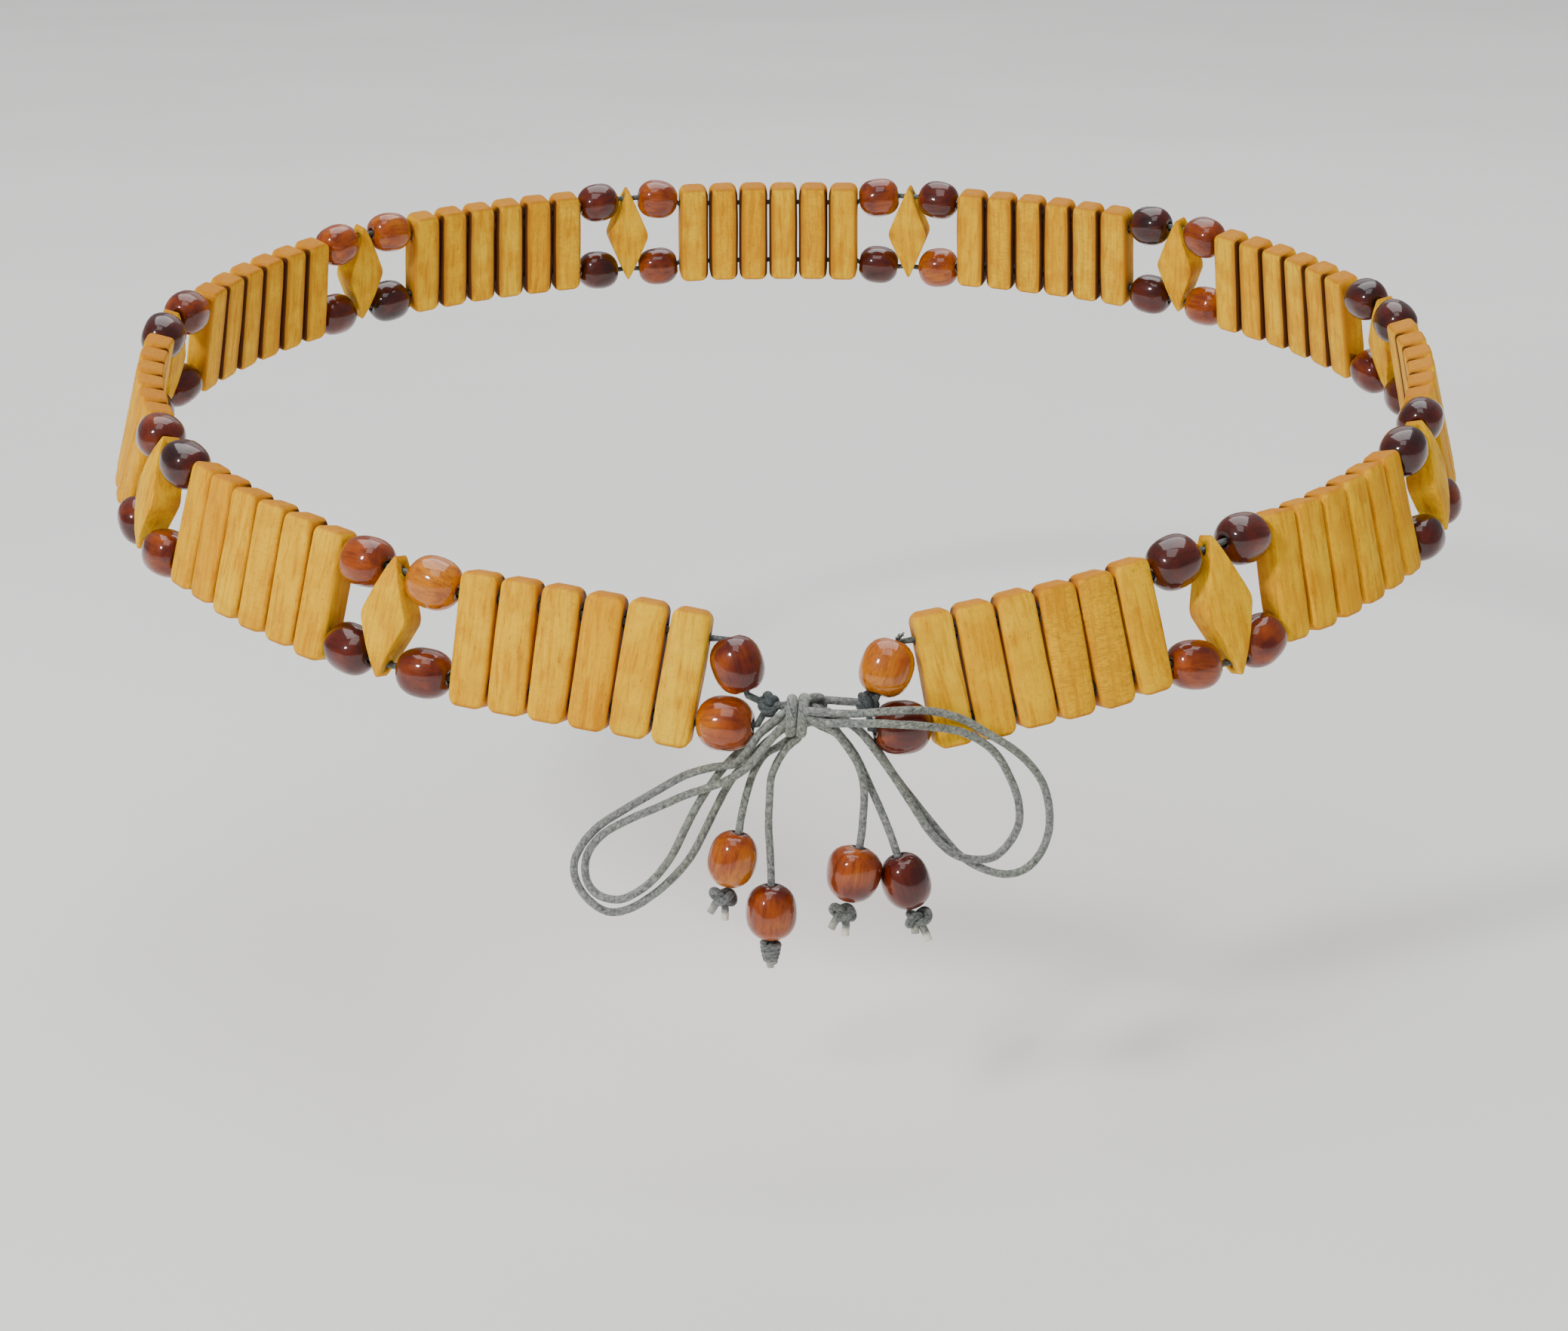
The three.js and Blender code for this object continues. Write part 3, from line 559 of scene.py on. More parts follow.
feed(tree, shader, colour=colour, roughness=remap(tree, wood["Streaks"], 0.3, 0.8, 0.3, 0.5),
     normal=bump(tree, wood["Height"], 0.4, 0.00015), coat=bump(tree, wood["Patches"], 0.25, 0.0006))

# %% [markdown]
# ## Waxed cord
# The cord is waxed cotton, mottled grey, with pale cut tips, and its knots and threads are made darker and
# bluer. Its fibres wind round it, so their noise is read on a circle, from a map that runs round and along
# each cord.

# %% Waxed cord
CORD_COLOURS = dict(
    olive=(0.94, 1.0, 0.80, 1), fuzz=(0.40, 0.405, 0.375, 1), fibre=(0.045, 0.048, 0.050, 1),
    dark=(0.24, 0.29, 0.34, 1), cut=(0.85, 0.80, 0.66, 1),
)
waxed_cord, tree, shader = new_material("waxed cord", {
    "Specular IOR Level": 0.4, "Sheen Weight": 0.25, "Sheen Roughness": 0.4,
})
coordinates = add_node(tree, "ShaderNodeTexCoord").outputs["Object"]
cord_map = add_node(tree, "ShaderNodeUVMap", uv_map="cord").outputs["UV"]
split = add_node(tree, "ShaderNodeSeparateXYZ", {0: cord_map}).outputs
around = maths(tree, "MULTIPLY", split["X"], math.tau)
winding = add_node(tree, "ShaderNodeCombineXYZ", {
    "X": maths(tree, "MULTIPLY", maths(tree, "COSINE", around), 2.2),
    "Y": maths(tree, "MULTIPLY", maths(tree, "SINE", around), 2.2),
    "Z": maths(tree, "MULTIPLY", split["Y"], 0.75),
}).outputs[0]
fibres = noise_of(tree, winding, 1, 4, 0.62, 0.3)
fuzz = noise_of(tree, coordinates, 2600, 3, 0.6)
mottle = noise_of(tree, coordinates, 1500, 3, 0.6)
hue = noise_of(tree, coordinates, 45, 2)
colour = ramp(tree, mottle, [
    (0.3, (0.085, 0.089, 0.088)), (0.46, (0.205, 0.212, 0.203)),
    (0.6, (0.300, 0.306, 0.288)), (0.74, (0.48, 0.485, 0.455)),
])
colour = blend(tree, remap(tree, hue, 0.4, 0.6, 0, 0.8), colour, CORD_COLOURS["olive"], "MULTIPLY")
colour = blend(tree, remap(tree, fuzz, 0.52, 0.74, 0, 0.7), colour, CORD_COLOURS["fuzz"])
colour = blend(tree, remap(tree, fibres, 0.5, 0.62, 0, 0.55), colour, CORD_COLOURS["fibre"])
colour = blend(tree, attribute(tree, "dark"), colour, CORD_COLOURS["dark"], "MULTIPLY")
colour = blend(tree, attribute(tree, "cut"), colour, CORD_COLOURS["cut"])
relief = maths(tree, "SUBTRACT", maths(tree, "MULTIPLY", fuzz, 0.6), fibres)
feed(tree, shader, colour=colour, roughness=remap(tree, mottle, 0.3, 0.7, 0.8, 0.4),
     normal=bump(tree, relief, 1.0, 0.0003))

# %% [markdown]
# ## Making pieces
# Sixty-six bars and forty beads are cut alike, then sanded by hand, so no two are quite the same. A template
# is shaped once with mesh operators and bored, then copied to each place with a small wobble of its own,
# which costs less than modelling each and looks less stamped than plain copies.

# %% Piece helpers
def new_piece(name, bm, material, nodes):
    bmesh.ops.recalc_face_normals(bm, faces=bm.faces)
    mesh = bpy.data.meshes.new(name)
    bm.to_mesh(mesh)
    bm.free()
    mesh.materials.append(material)
    mesh.shade_smooth()
    piece = bpy.data.objects.new(name, mesh)
    scene.collection.objects.link(piece)
    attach(piece, "root")
    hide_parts(*nodes)
    print(name, len(mesh.vertices), "points,", len(mesh.polygons), "faces")
    return piece


def bevel_edges(bm, edges, radius, segments):
    bmesh.ops.bevel(
        bm, geom=edges, offset=radius, offset_type="OFFSET", segments=segments, profile=0.5,
        affect="EDGES", clamp_overlap=True, material=-1,
    )


def edges_at(bm, height):
    return [e for e in bm.edges if all(abs(v.co.z - height) < 1e-7 for v in e.verts)]


def upright_edges(bm, width=None):
    """Edges through the thickness, or only those this far from the middle in x."""
    found = [e for e in bm.edges if abs(e.verts[0].co.z - e.verts[1].co.z) > 1e-4]
    return found if width is None else [e for e in found if abs(abs(e.verts[0].co.x) - width) < 1e-6]


def cut_across(bm, axis, places):
    for value in places:
        point, normal = [0, 0, 0], [0, 0, 0]
        point[axis], normal[axis] = value, 1
        geometry = bm.verts[:] + bm.edges[:] + bm.faces[:]
        bmesh.ops.bisect_plane(bm, geom=geometry, plane_co=point, plane_no=normal, dist=1e-7)


CUTTER_SIDES = 16
CUTTER_LENGTH = 0.03


def bored(bm, diameter, height, places):
    """The shape with round bores through it from side to side."""
    body_mesh = bpy.data.meshes.new("body")
    bm.to_mesh(body_mesh)
    bm.free()
    cutters = bmesh.new()
    for y in places:
        turn = Matrix.Translation((0, y, height)) @ Matrix.Rotation(math.pi / 2, 4, "Y")
        bmesh.ops.create_cone(
            cutters, cap_ends=True, segments=CUTTER_SIDES, radius1=diameter / 2, radius2=diameter / 2,
            depth=CUTTER_LENGTH, matrix=turn,
        )
    cutter_mesh = bpy.data.meshes.new("cutters")
    cutters.to_mesh(cutter_mesh)
    cutters.free()
    body, cutter = (bpy.data.objects.new(m.name, m) for m in (body_mesh, cutter_mesh))
    for item in (body, cutter):
        scene.collection.objects.link(item)
    modifier = body.modifiers.new("bores", "BOOLEAN")
    modifier.operation = "DIFFERENCE"
    modifier.solver = "EXACT"
    modifier.object = cutter
    result = bmesh.new()
    result.from_object(body, bpy.context.evaluated_depsgraph_get())
    for item, mesh in ((body, body_mesh), (cutter, cutter_mesh)):
        bpy.data.objects.remove(item)
        bpy.data.meshes.remove(mesh)
    return result

# %% [markdown]
# ## Templates
# The edges are bevelled first, then the bores are cut, and cuts across the flat faces give the wobble some
# points to move. The bead is half of its outline, spun about its axis.

# %% Templates
def bar_template():
    bm = bmesh.new()
    stretch = Matrix.Diagonal((BAR_WIDTH, BAR_LENGTH, BAR_THICKNESS, 1))
    bmesh.ops.create_cube(bm, size=1, matrix=Matrix.Translation((0, 0, BAR_THICKNESS / 2)) @ stretch)
    bevel_edges(bm, upright_edges(bm), BAR_CORNER, 7)
    bevel_edges(bm, edges_at(bm, BAR_THICKNESS), BAR_FRONT_EDGE, 4)
    bevel_edges(bm, edges_at(bm, 0), BAR_BACK_EDGE, 3)
    bm = bored(bm, BAR_BORE, BAR_THICKNESS / 2, (-BAR_HOLE, BAR_HOLE))
    cut_across(bm, 1, np.linspace(-0.0105, 0.0105, 9))
    cut_across(bm, 0, (-0.0014, 0.0014))
    return bm


def rhombus_template(link):
    bm = bmesh.new()
    half_width, half_length = link["width"] / 2, link["length"] / 2
    stretch = Matrix.Diagonal((half_width, half_length + RHOMBUS_TIP_ALLOWANCE, RHOMBUS_THICKNESS, 1))
    bmesh.ops.create_cone(
        bm, cap_ends=True, segments=4, radius1=1, radius2=1, depth=1,
        matrix=Matrix.Translation((0, 0, RHOMBUS_THICKNESS / 2)) @ stretch,
    )
    bevel_edges(bm, upright_edges(bm, half_width), RHOMBUS_SIDE_CORNER, 4)
    bevel_edges(bm, upright_edges(bm, 0), RHOMBUS_TIP_CORNER, 5)
    bevel_edges(bm, edges_at(bm, RHOMBUS_THICKNESS), RHOMBUS_FRONT_EDGE, 4)
    bevel_edges(bm, edges_at(bm, 0), RHOMBUS_BACK_EDGE, 3)
    inset = half_length - RHOMBUS_HOLE_INSET
    bm = bored(bm, RHOMBUS_BORE, RHOMBUS_THICKNESS / 2, (-inset, inset))
    cut_across(bm, 1, np.linspace(-0.009, 0.009, 7))
    cut_across(bm, 0, (-0.0015, 0, 0.0015))
    return bm


def bead_template(diameter, length, steps=32):
    """A barrel about z with a bore through it, turned from half of its outline."""
    radius, half, bore = diameter / 2, length / 2, BEAD_BORE / 2
    mouth = bore + BORE_FLARE
    profile = []
    for i in range(15):
        z = half * math.sin(math.pi / 2 * (i / 7 - 1))
        profile.append((radius * (1 - abs(0.945 * z / half) ** 2.5) ** 0.44, z))
    profile += [(mouth, half), (bore, half - BORE_ROUNDING), (bore, 0)]
    profile += [(bore, BORE_ROUNDING - half), (mouth, -half)]
    bm = bmesh.new()
    points = [bm.verts.new((r, 0, z)) for r, z in profile]
    lines = [bm.edges.new((points[i - 1], points[i])) for i in range(len(points))]
    bmesh.ops.spin(
        bm, geom=points + lines, axis=(0, 0, 1), cent=(0, 0, 0), dvec=(0, 0, 0), angle=math.tau, steps=steps,
    )
    bmesh.ops.remove_doubles(bm, verts=bm.verts, dist=1e-6)
    return bm

# %% [markdown]
# ## Copies
# A copy is bent a little and gets its own wood coordinates, tone and rim on its points, where the materials
# read them. The numbers come from the piece's seed, so every run gives the same belt.

# %% Copies
FIGURE_SPREAD = 90


def copy_to(target, template, place, figure_of, tone_of, rim_of, shape_of, ripple=0.0):
    """Adds a copy of the template to the target, with its wood coordinates, tone and rim."""
    copy = template.copy()
    layers = copy.verts.layers
    figure_layer = layers.float_vector.new("figure")
    tone_layer, rim_layer, ripple_layer = (layers.float.new(n) for n in ("tone", "rim", "ripple"))
    for vert in copy.verts:
        local = vert.co.copy()
        vert[figure_layer] = figure_of(local)
        vert[tone_layer] = tone_of(local)
        vert[rim_layer] = rim_of(local)
        vert[ripple_layer] = ripple
        vert.co = place @ shape_of(local)
    mesh = bpy.data.meshes.new("copy")
    copy.to_mesh(mesh)
    copy.free()
    target.from_mesh(mesh)
    bpy.data.meshes.remove(mesh)


def smooth_step(value, low, high):
    share = min(max((value - low) / (high - low), 0), 1)
    return share * share * (3 - 2 * share)


def scatter(seed, channel=0):
    """A steady number from 0 to 1 for a piece."""
    return (math.sin(seed * 12.9898 + channel * 78.233) * 43758.5453) % 1


def scattered(seed):
    """A steady place in the unit cube for a piece."""
    return Vector([scatter(seed, channel) for channel in (1, 2, 3)])

# %% [markdown]
# ## Bars
# Flat bars with rounded corners and soft edges stand in groups of six. They touch along their sides, which
# get painted shade. Tone and cross grain follow what can be seen in front and are scattered at the back.

# %% Bars
bars = {}
for side_name in SIDES:
    for group in range(BACK_GROUP + 1):
        bars[side_name, group] = group_seats(side_name, group)

# tone from pale to orange and strength of the cross grain, bar by bar from the bow outwards
BAR_LOOKS = {
    ("left", 0): dict(tones=[0.25, 0.45, 0.75, 0.5, 0.55, 0.5], ripples=[0.1, 0.05, 0.1, 0.15, 0.1, 0.1]),
    ("left", 1): dict(tones=[0.5, 0.45, 0.55, 0.5, 0.8, 0.6], ripples=[0.1, 0.1, 0.3, 0.1, 0.15, 0.1]),
    ("right", 0): dict(tones=[0.45, 0.5, 0.5, 0.6, 0.6, 0.5], ripples=[0.05, 0.1, 0.15, 0.7, 0.85, 0.25]),
    ("right", 1): dict(tones=[0.45, 0.5, 0.6, 0.5, 0.55, 0.6], ripples=[0.1, 0.15, 0.1, 0.2, 0.1, 0.1]),
}


WOOD_LEAN = 0.12
WOOD_DOME = 0.0004
WOOD_SLIMMING = 0.035
WOOD_WOBBLE_SCALE = 110
WOOD_TONE_SCALE = 90
WOOD_TONE_SPREAD = 0.25


def wood_functions(seed, tone, half_width, half_length, thickness, wobble, shaded=(0, 0), taper=0):
    """Shaded says how dark its left and right sides are, from 0 in the open to 1 between bars;
    taper is the share of its thickness that is missing at its tips."""
    shift = scattered(seed) * FIGURE_SPREAD
    tilt = (scatter(seed, 4) - 0.5) * WOOD_LEAN

    def figure_of(local):
        across, along, depth = local * 1000
        return Vector((across + along * tilt, along, depth)) + shift

    # painted shade: darker towards the ends, and on the sides behind the front face, most where a bar meets
    # the next
    def rim_of(local):
        ends = smooth_step(abs(local.y), half_length - 0.0011, half_length)
        low = 1 - smooth_step(local.z, thickness - 0.0024, thickness - 0.0003)
        side = smooth_step(abs(local.x), half_width - 0.0012, half_width - 0.0003)
        return max(ends * 0.45, low * side * (0.4 + 0.6 * shaded[local.x > 0]))

    def shape_of(local):
        slim = 1 - WOOD_SLIMMING * (abs(local.y) / half_length) ** 3
        dome = WOOD_DOME * (local.x / half_width) ** 2 * smooth_step(local.z, 0, thickness)
        bent = noise.noise_vector(local * WOOD_WOBBLE_SCALE + shift) * wobble
        thinned = 1 - taper * (abs(local.y) / half_length) ** 3
        depth = thickness / 2 + (local.z - dome - thickness / 2) * thinned
        return Vector((local.x * slim, local.y, depth)) + bent

    def tone_of(local):
        return tone + WOOD_TONE_SPREAD * noise.noise(local * WOOD_TONE_SCALE + shift)

    return figure_of, tone_of, rim_of, shape_of


template = bar_template()
bm = bmesh.new()
for (side_name, group), seats in bars.items():
    looks = BAR_LOOKS.get((side_name, group))
    for i, place in enumerate(seats):
        seed = SIDES[side_name] * 40 + group * 6 + i
        tone = looks["tones"][i] if looks else 0.3 + 0.45 * scatter(seed)
        ripple = looks["ripples"][i] if looks else 0.5 * scatter(seed, 5) ** 2
        first, last = (i > 0), (i < BARS_IN_GROUP - 1)
        shaded = (first, last) if side_name == "right" else (last, first)
        functions = wood_functions(
            seed, tone, BAR_WIDTH / 2, BAR_LENGTH / 2, BAR_THICKNESS, BAR_WOBBLE, shaded
        )
        copy_to(bm, template, place, *functions, ripple)
template.free()
BACK_STRINGS = ["back_string_left", "back_string_right"]
bar_nodes = [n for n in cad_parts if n.startswith("bar_")]
new_piece("bars", bm, yellow_wood, bar_nodes + BACK_STRINGS)

# %% [markdown]
# ## Links
# A rhombus piece stands in the middle of each link, with a bead beside each of its tips on both sides. The
# beads' places come from the bars' holes and the rhombus's, so the threads run straight through all of them.

# %% Links
# bead tones from orange to dark, as upper near the bow, upper far, lower near, lower far
LINK_TONES = {
    ("left", 0): (0.08, 0.42, 0.6, 0.75), ("left", 1): (0.85, 0.65, 0.55, 0.65),
    ("right", 0): (0.78, 0.72, 0.45, 0.52), ("right", 1): (0.85, 0.75, 0.8, 0.7),
}
END_TONES = {"left": (0.55, 0.3), "right": (0.12, 0.58)}
links, ends, beads = {}, {}, []
rhombi = bmesh.new()
for side_name in SIDES:
    for group in range(BACK_GROUP):
        before, after = bars[side_name, group][-1], bars[side_name, group + 1][0]
        rhombus, rows = link_pieces(side_name, group, before, after)
        links[side_name, group] = rows
        tones = LINK_TONES.get((side_name, group))
        link = link_of(side_name, group)
        template = rhombus_template(link)
        seed = SIDES[side_name] * 17 + group
        functions = wood_functions(
            seed, RHOMBUS_TONE, link["width"] / 2, link["length"] / 2, RHOMBUS_THICKNESS, RHOMBUS_WOBBLE,
            taper=RHOMBUS_TIP_TAPER,
        )
        copy_to(rhombi, template, rhombus, *functions, RHOMBUS_RIPPLE)
        template.free()
        for r, (row, hole, pair) in enumerate(rows):
            for i, (near, far) in enumerate(pair):
                number = 2 * r + i
                tone = tones[number] if tones else 0.3 + 0.6 * scatter(seed, number + 7)
                beads.append((near, far, tone, seed * 4 + number, 0))
    ends[side_name] = end_pieces(side_name)
    for r, (near, far) in enumerate(ends[side_name][0]):
        dark_top = 0.12 if r == 0 else 0
        beads.append((near, far, END_TONES[side_name][r], SIDES[side_name] * 90 + r, dark_top))
rhombus_nodes = ["rhombus_left", "rhombus_right"]
new_piece("rhombus_pieces", rhombi, yellow_wood, rhombus_nodes + BACK_STRINGS)

# %% [markdown]
# ## Beads
# Turned barrel beads, smooth and a little uneven under their varnish. A wave round the bead and a fine noise
# take away the perfect roundness, but fade out at the bore, so the threads still fit.

# %% Beads
def bead_place(near, far):
    turn = (far - near).to_track_quat("Z", "Y").to_matrix().to_4x4()
    return Matrix.Translation((near + far) / 2) @ turn


BEAD_WOBBLE_SCALE = 160
BEAD_TONE_SCALE = 180
BEAD_TONE_SPREAD = 0.2


def bead_functions(seed, tone, half_length, place, dark_top, widest=1.0, egg=0.0):
    shift = scattered(seed) * FIGURE_SPREAD
    phase = scatter(seed, 4) * math.tau

    def figure_of(local):
        across, depth, along = local * 1000
        return Vector((across, along, depth)) + shift

    # painted shade: darkest in the bore, fading out round its mouth
    def rim_of(local):
        return 1 - smooth_step(math.hypot(local.x, local.y), 0.0012, 0.0021)

    def shape_of(local):
        angle = math.atan2(local.y, local.x)
        wide = widest * (1 + 0.022 * math.cos(4 * angle + phase) + 0.012 * math.cos(3 * angle + 2 * phase))
        wide *= 1 + egg * local.z / half_length
        share = smooth_step(math.hypot(local.x, local.y), 0.0012, 0.003)
        wide = 1 + (wide - 1) * share
        lumps = noise.noise_vector(local * BEAD_WOBBLE_SCALE + shift) * BEAD_WOBBLE * share
        return Vector((local.x * wide, local.y * wide, local.z)) + lumps

    def tone_of(local):
        rise = (place.to_3x3() @ local).z / half_length
        return tone + dark_top * rise + BEAD_TONE_SPREAD * noise.noise(local * BEAD_TONE_SCALE + shift)

    return figure_of, tone_of, rim_of, shape_of


template = bead_template(BEAD_DIAMETER - BEAD_SLIMMING, BEAD_LENGTH + BEAD_STRETCH)
bm = bmesh.new()
for near, far, tone, seed, dark_top in beads:
    place = bead_place(near, far)
    widest = 0.96 + 0.07 * scatter(seed, 8)
    copy_to(bm, template, place, *bead_functions(seed, tone, BEAD_LENGTH / 2, place, dark_top, widest))
template.free()
bead_nodes = [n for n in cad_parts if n.startswith(("link_bead", "end_bead"))]
new_piece("beads", bm, varnished_wood, bead_nodes + BACK_STRINGS)

# %% [markdown]
# ## Cords
# Every cord, thread and knot is a tube swept along a smoothed route. Built by hand from rings it can be a
# little uneven and carry its own map, pale ends and darkening, which a curve with a round bevel can't.

# %% Routes
STEPS_BETWEEN_POINTS = 12


def smooth_route(points, spacing, closed=False):
    """Even steps along a centripetal curve through the points."""
    given = [Vector(p) for p in points]
    if closed:
        ring = [given[-1], *given, given[0], given[1]]
    else:
        ring = [2 * given[0] - given[1], *given, 2 * given[-1] - given[-2]]
    fine = []
    for i in range(1, len(ring) - 2):
        a, b, c, d = ring[i - 1 : i + 3]
        knots = [0]
        for p, q in ((a, b), (b, c), (c, d)):
            knots.append(knots[-1] + max((q - p).length, 1e-9) ** 0.5)
        k0, k1, k2, k3 = knots
        for step in range(STEPS_BETWEEN_POINTS):
            t = k1 + (k2 - k1) * step / STEPS_BETWEEN_POINTS
            ab = a.lerp(b, (t - k0) / (k1 - k0))
            bc = b.lerp(c, (t - k1) / (k2 - k1))
            cd = c.lerp(d, (t - k2) / (k3 - k2))
            abc = ab.lerp(bc, (t - k0) / (k2 - k0))
            bcd = bc.lerp(cd, (t - k1) / (k3 - k1))
            fine.append(abc.lerp(bcd, (t - k1) / (k2 - k1)))
    fine.append(fine[0] if closed else given[-1])
    fine = np.array(fine)
    run = np.concatenate([[0], np.cumsum(np.linalg.norm(np.diff(fine, axis=0), axis=1))])
    count = max(3, round(run[-1] / spacing))
    at = np.linspace(0, run[-1], count + 1)
    return [Vector([np.interp(s, run, fine[:, k]) for k in range(3)]) for s in at]


def route_length(points):
    return sum((q - p).length for p, q in zip(points, points[1:]))


# %% [markdown]
# ## Tubes
# Rings of points stand across the route and are joined by faces. Their axes turn as little as possible, so
# the tube doesn't twist, and its map winds round the cord as its fibres do.

# %% Tubes
WINDS_PER_METRE = 90
LUMP_SCALE = 700
LUMP_SPREAD = 50
TIP_BULGE = 0.12
FRAYED_FROM, FRAYED_TO = -0.0019, -0.0009


def ring_axes(points, count, closed):
    """Two directions across the tube at each ring, turned as little as possible from ring to ring."""
    axes, tangent, side = [], None, None
    for i in range(count):
        ahead = points[i + 1] if i + 1 < len(points) else points[i]
        behind = points[i - 1] if i > 0 else (points[-2] if closed else points[0])
        new_tangent = (ahead - behind).normalized()
        if i == 0:
            side = new_tangent.to_track_quat("Z", "Y") @ Vector((1, 0, 0))
        else:
            side = tangent.rotation_difference(new_tangent) @ side
        side = (side - new_tangent * side.dot(new_tangent)).normalized()
        tangent = new_tangent
        axes.append((side, tangent.cross(side)))
    return axes


def add_tube(bm, points, diameter, sides=12, unevenness=0.05, seed=0, closed=False, cut=(0, 0), dark=0):
    """A tube along the points; cut says how pale its two ends are, dark how much darker and bluer it is."""
    cord_layer = bm.loops.layers.uv.get("cord") or bm.loops.layers.uv.new("cord")
    layers = bm.verts.layers.float
    for name in ("cut", "dark"):
        if layers.get(name) is None:
            layers.new(name)
    cut_layer, dark_layer = layers["cut"], layers["dark"]
    count = len(points) - 1 if closed else len(points)
    shift = scattered(seed) * LUMP_SPREAD
    rings, travelled = [], [0.0]
    for i, (side, other) in enumerate(ring_axes(points, count, closed)):
        if i > 0:
            travelled.append(travelled[-1] + (points[i] - points[i - 1]).length)
        ring = []
        for k in range(sides):
            angle = math.tau * k / sides
            way = side * math.cos(angle) + other * math.sin(angle)
            lump = 1 + unevenness * noise.noise(points[i] * LUMP_SCALE + way * 0.9 + shift)
            ring.append(bm.verts.new(points[i] + way * diameter / 2 * lump))
            ring[-1][dark_layer] = dark
        rings.append(ring)
    pairs = list(zip(range(count), range(1, count)))
    if closed:
        pairs.append((count - 1, 0))
        travelled.append(travelled[-1] + (points[-1] - points[-2]).length)
    for i, j in pairs:
        start, end = travelled[i], travelled[i + 1]
        for k in range(sides):
            m = (k + 1) % sides
            face = bm.faces.new((rings[i][k], rings[i][m], rings[j][m], rings[j][k]))
            corners = ((k, start), (k + 1, start), (k + 1, end), (k, end))
            for loop, (u, v) in zip(face.loops, corners):
                loop[cord_layer].uv = (u / sides + v * WINDS_PER_METRE, v * 1000)
    if closed:
        return
    for i, ring in enumerate(rings):
        first = cut[0] * smooth_step(-travelled[i], FRAYED_FROM, FRAYED_TO)
        last = cut[1] * smooth_step(travelled[i] - travelled[-1], FRAYED_FROM, FRAYED_TO)
        for vert in ring:
            vert[cut_layer] = max(first, last)
    tube_ends = (
        (rings[0], points[0], points[0] - points[1], cut[0]),
        (rings[-1], points[-1], points[-1] - points[-2], cut[1]),
    )
    for ring, point, way, pale in tube_ends:
        tip = bm.verts.new(point + way.normalized() * diameter * TIP_BULGE)
        tip[cut_layer], tip[dark_layer] = pale, dark
        for k in range(sides):
            face = bm.faces.new((ring[k], ring[(k + 1) % sides], tip))
            for loop in face.loops:
                loop[cord_layer].uv = (k / sides, point.z * 1000)


def new_cord_piece(name, bm, nodes):
    return new_piece(name, bm, waxed_cord, nodes)

# %% [markdown]
# ## Loops
# Four loops of the bow run from the knot and back to it. Each is a piece of its own.

# %% Loops
for name, points in LOOPS.items():
    route = smooth_route(points, CORD_STEP)
    bm = bmesh.new()
    add_tube(bm, route, CORD, seed=len(name) + route[0].x * 1000)
    loop = new_cord_piece(f"loop_{name}", bm, [f"cord_loop_{name}"])
    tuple(route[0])
    route_length(route)

# %% [markdown]
# ## Tails
# Four tails hang down, each through a bead onto a stop knot whose cut ends are frayed. Three stops are
# overhand knots, drawn as a trefoil curve, and one is a whipping, the cord's own turns round its end.

# %% Tails with their beads and stop knots
# tone of the bead, width against the usual, how egg-shaped it is and how much darker its top is
TAIL_LOOKS = {
    "left_outer": dict(tone=0.26, widest=0.98, egg=0.0, dark_top=0.15),
    "left_inner": dict(tone=0.38, widest=1.0, egg=-0.02, dark_top=0.2),
    "right_inner": dict(tone=0.42, widest=1.08, egg=0.08, dark_top=-0.15),
    "right_outer": dict(tone=0.66, widest=0.98, egg=0.0, dark_top=0.1),
}


def overhand_knot(centre, axis, size, squash, turn, steps=60):
    """A small tight knot's closed route about the axis."""
    axes = axis.to_track_quat("Z", "Y").to_matrix() @ Matrix.Rotation(turn, 3, "Z")
    points = []
    for i in range(steps):
        t = math.tau * i / steps
        local = Vector((
            math.sin(t) + 2 * math.sin(2 * t), math.cos(t) - 2 * math.cos(2 * t), -1.4 * math.sin(3 * t),
        ))
        points.append(centre + axes @ Vector((local.x, local.y, local.z * squash)) * size / 6)
    return [*points, points[0]]


WHIPPING_TURNS = 5
WHIPPING_STEPS = 71
WHIPPING_CORD = 0.00125
STUB_CORD = 0.0013


def add_whipping(bm, start, down, seed):
    """A tapering cone of cord wound round the cord's end."""
    across = down.orthogonal().normalized()
    other = down.cross(across)
    turns = []
    for i in range(WHIPPING_STEPS + 1):
        share = i / WHIPPING_STEPS
        around = math.tau * WHIPPING_TURNS * share
        reach = 0.0015 - 0.0008 * share ** 1.5
        sideways = (across * math.cos(around) + other * math.sin(around)) * reach
        turns.append(start + down * (0.0004 + 0.0038 * share) + sideways)
    add_tube(bm, turns, WHIPPING_CORD, sides=10, seed=seed, cut=(0, 0.3), dark=0.35)
    stub = [start, start + down * 0.0025, start + down * 0.0052]
    add_tube(bm, stub, STUB_CORD, seed=seed + 1, cut=(0, 0.5))


# how far sideways and down each cut end reaches, and how pale it is
CUT_TIPS = ((0.0012, 0.0048, 1), (-0.0018, 0.0034, 0.3))


def add_cut_tips(bm, start, down, seed):
    """Two short frayed ends below a stop knot, one of them pale."""
    for number, (reach, drop, pale) in enumerate(CUT_TIPS):
        side = Vector((reach, -0.0004, 0)) if seed % 2 == 0 else Vector((reach * 0.7, -0.0006, 0))
        bend = start + down * drop * 0.55 + side * 0.7
        tip = smooth_route([start, bend, start + down * drop + side], TIP_STEP)
        add_tube(bm, tip, KNOT_CORD, unevenness=0.18, seed=seed * 3 + number, cut=(0, pale))


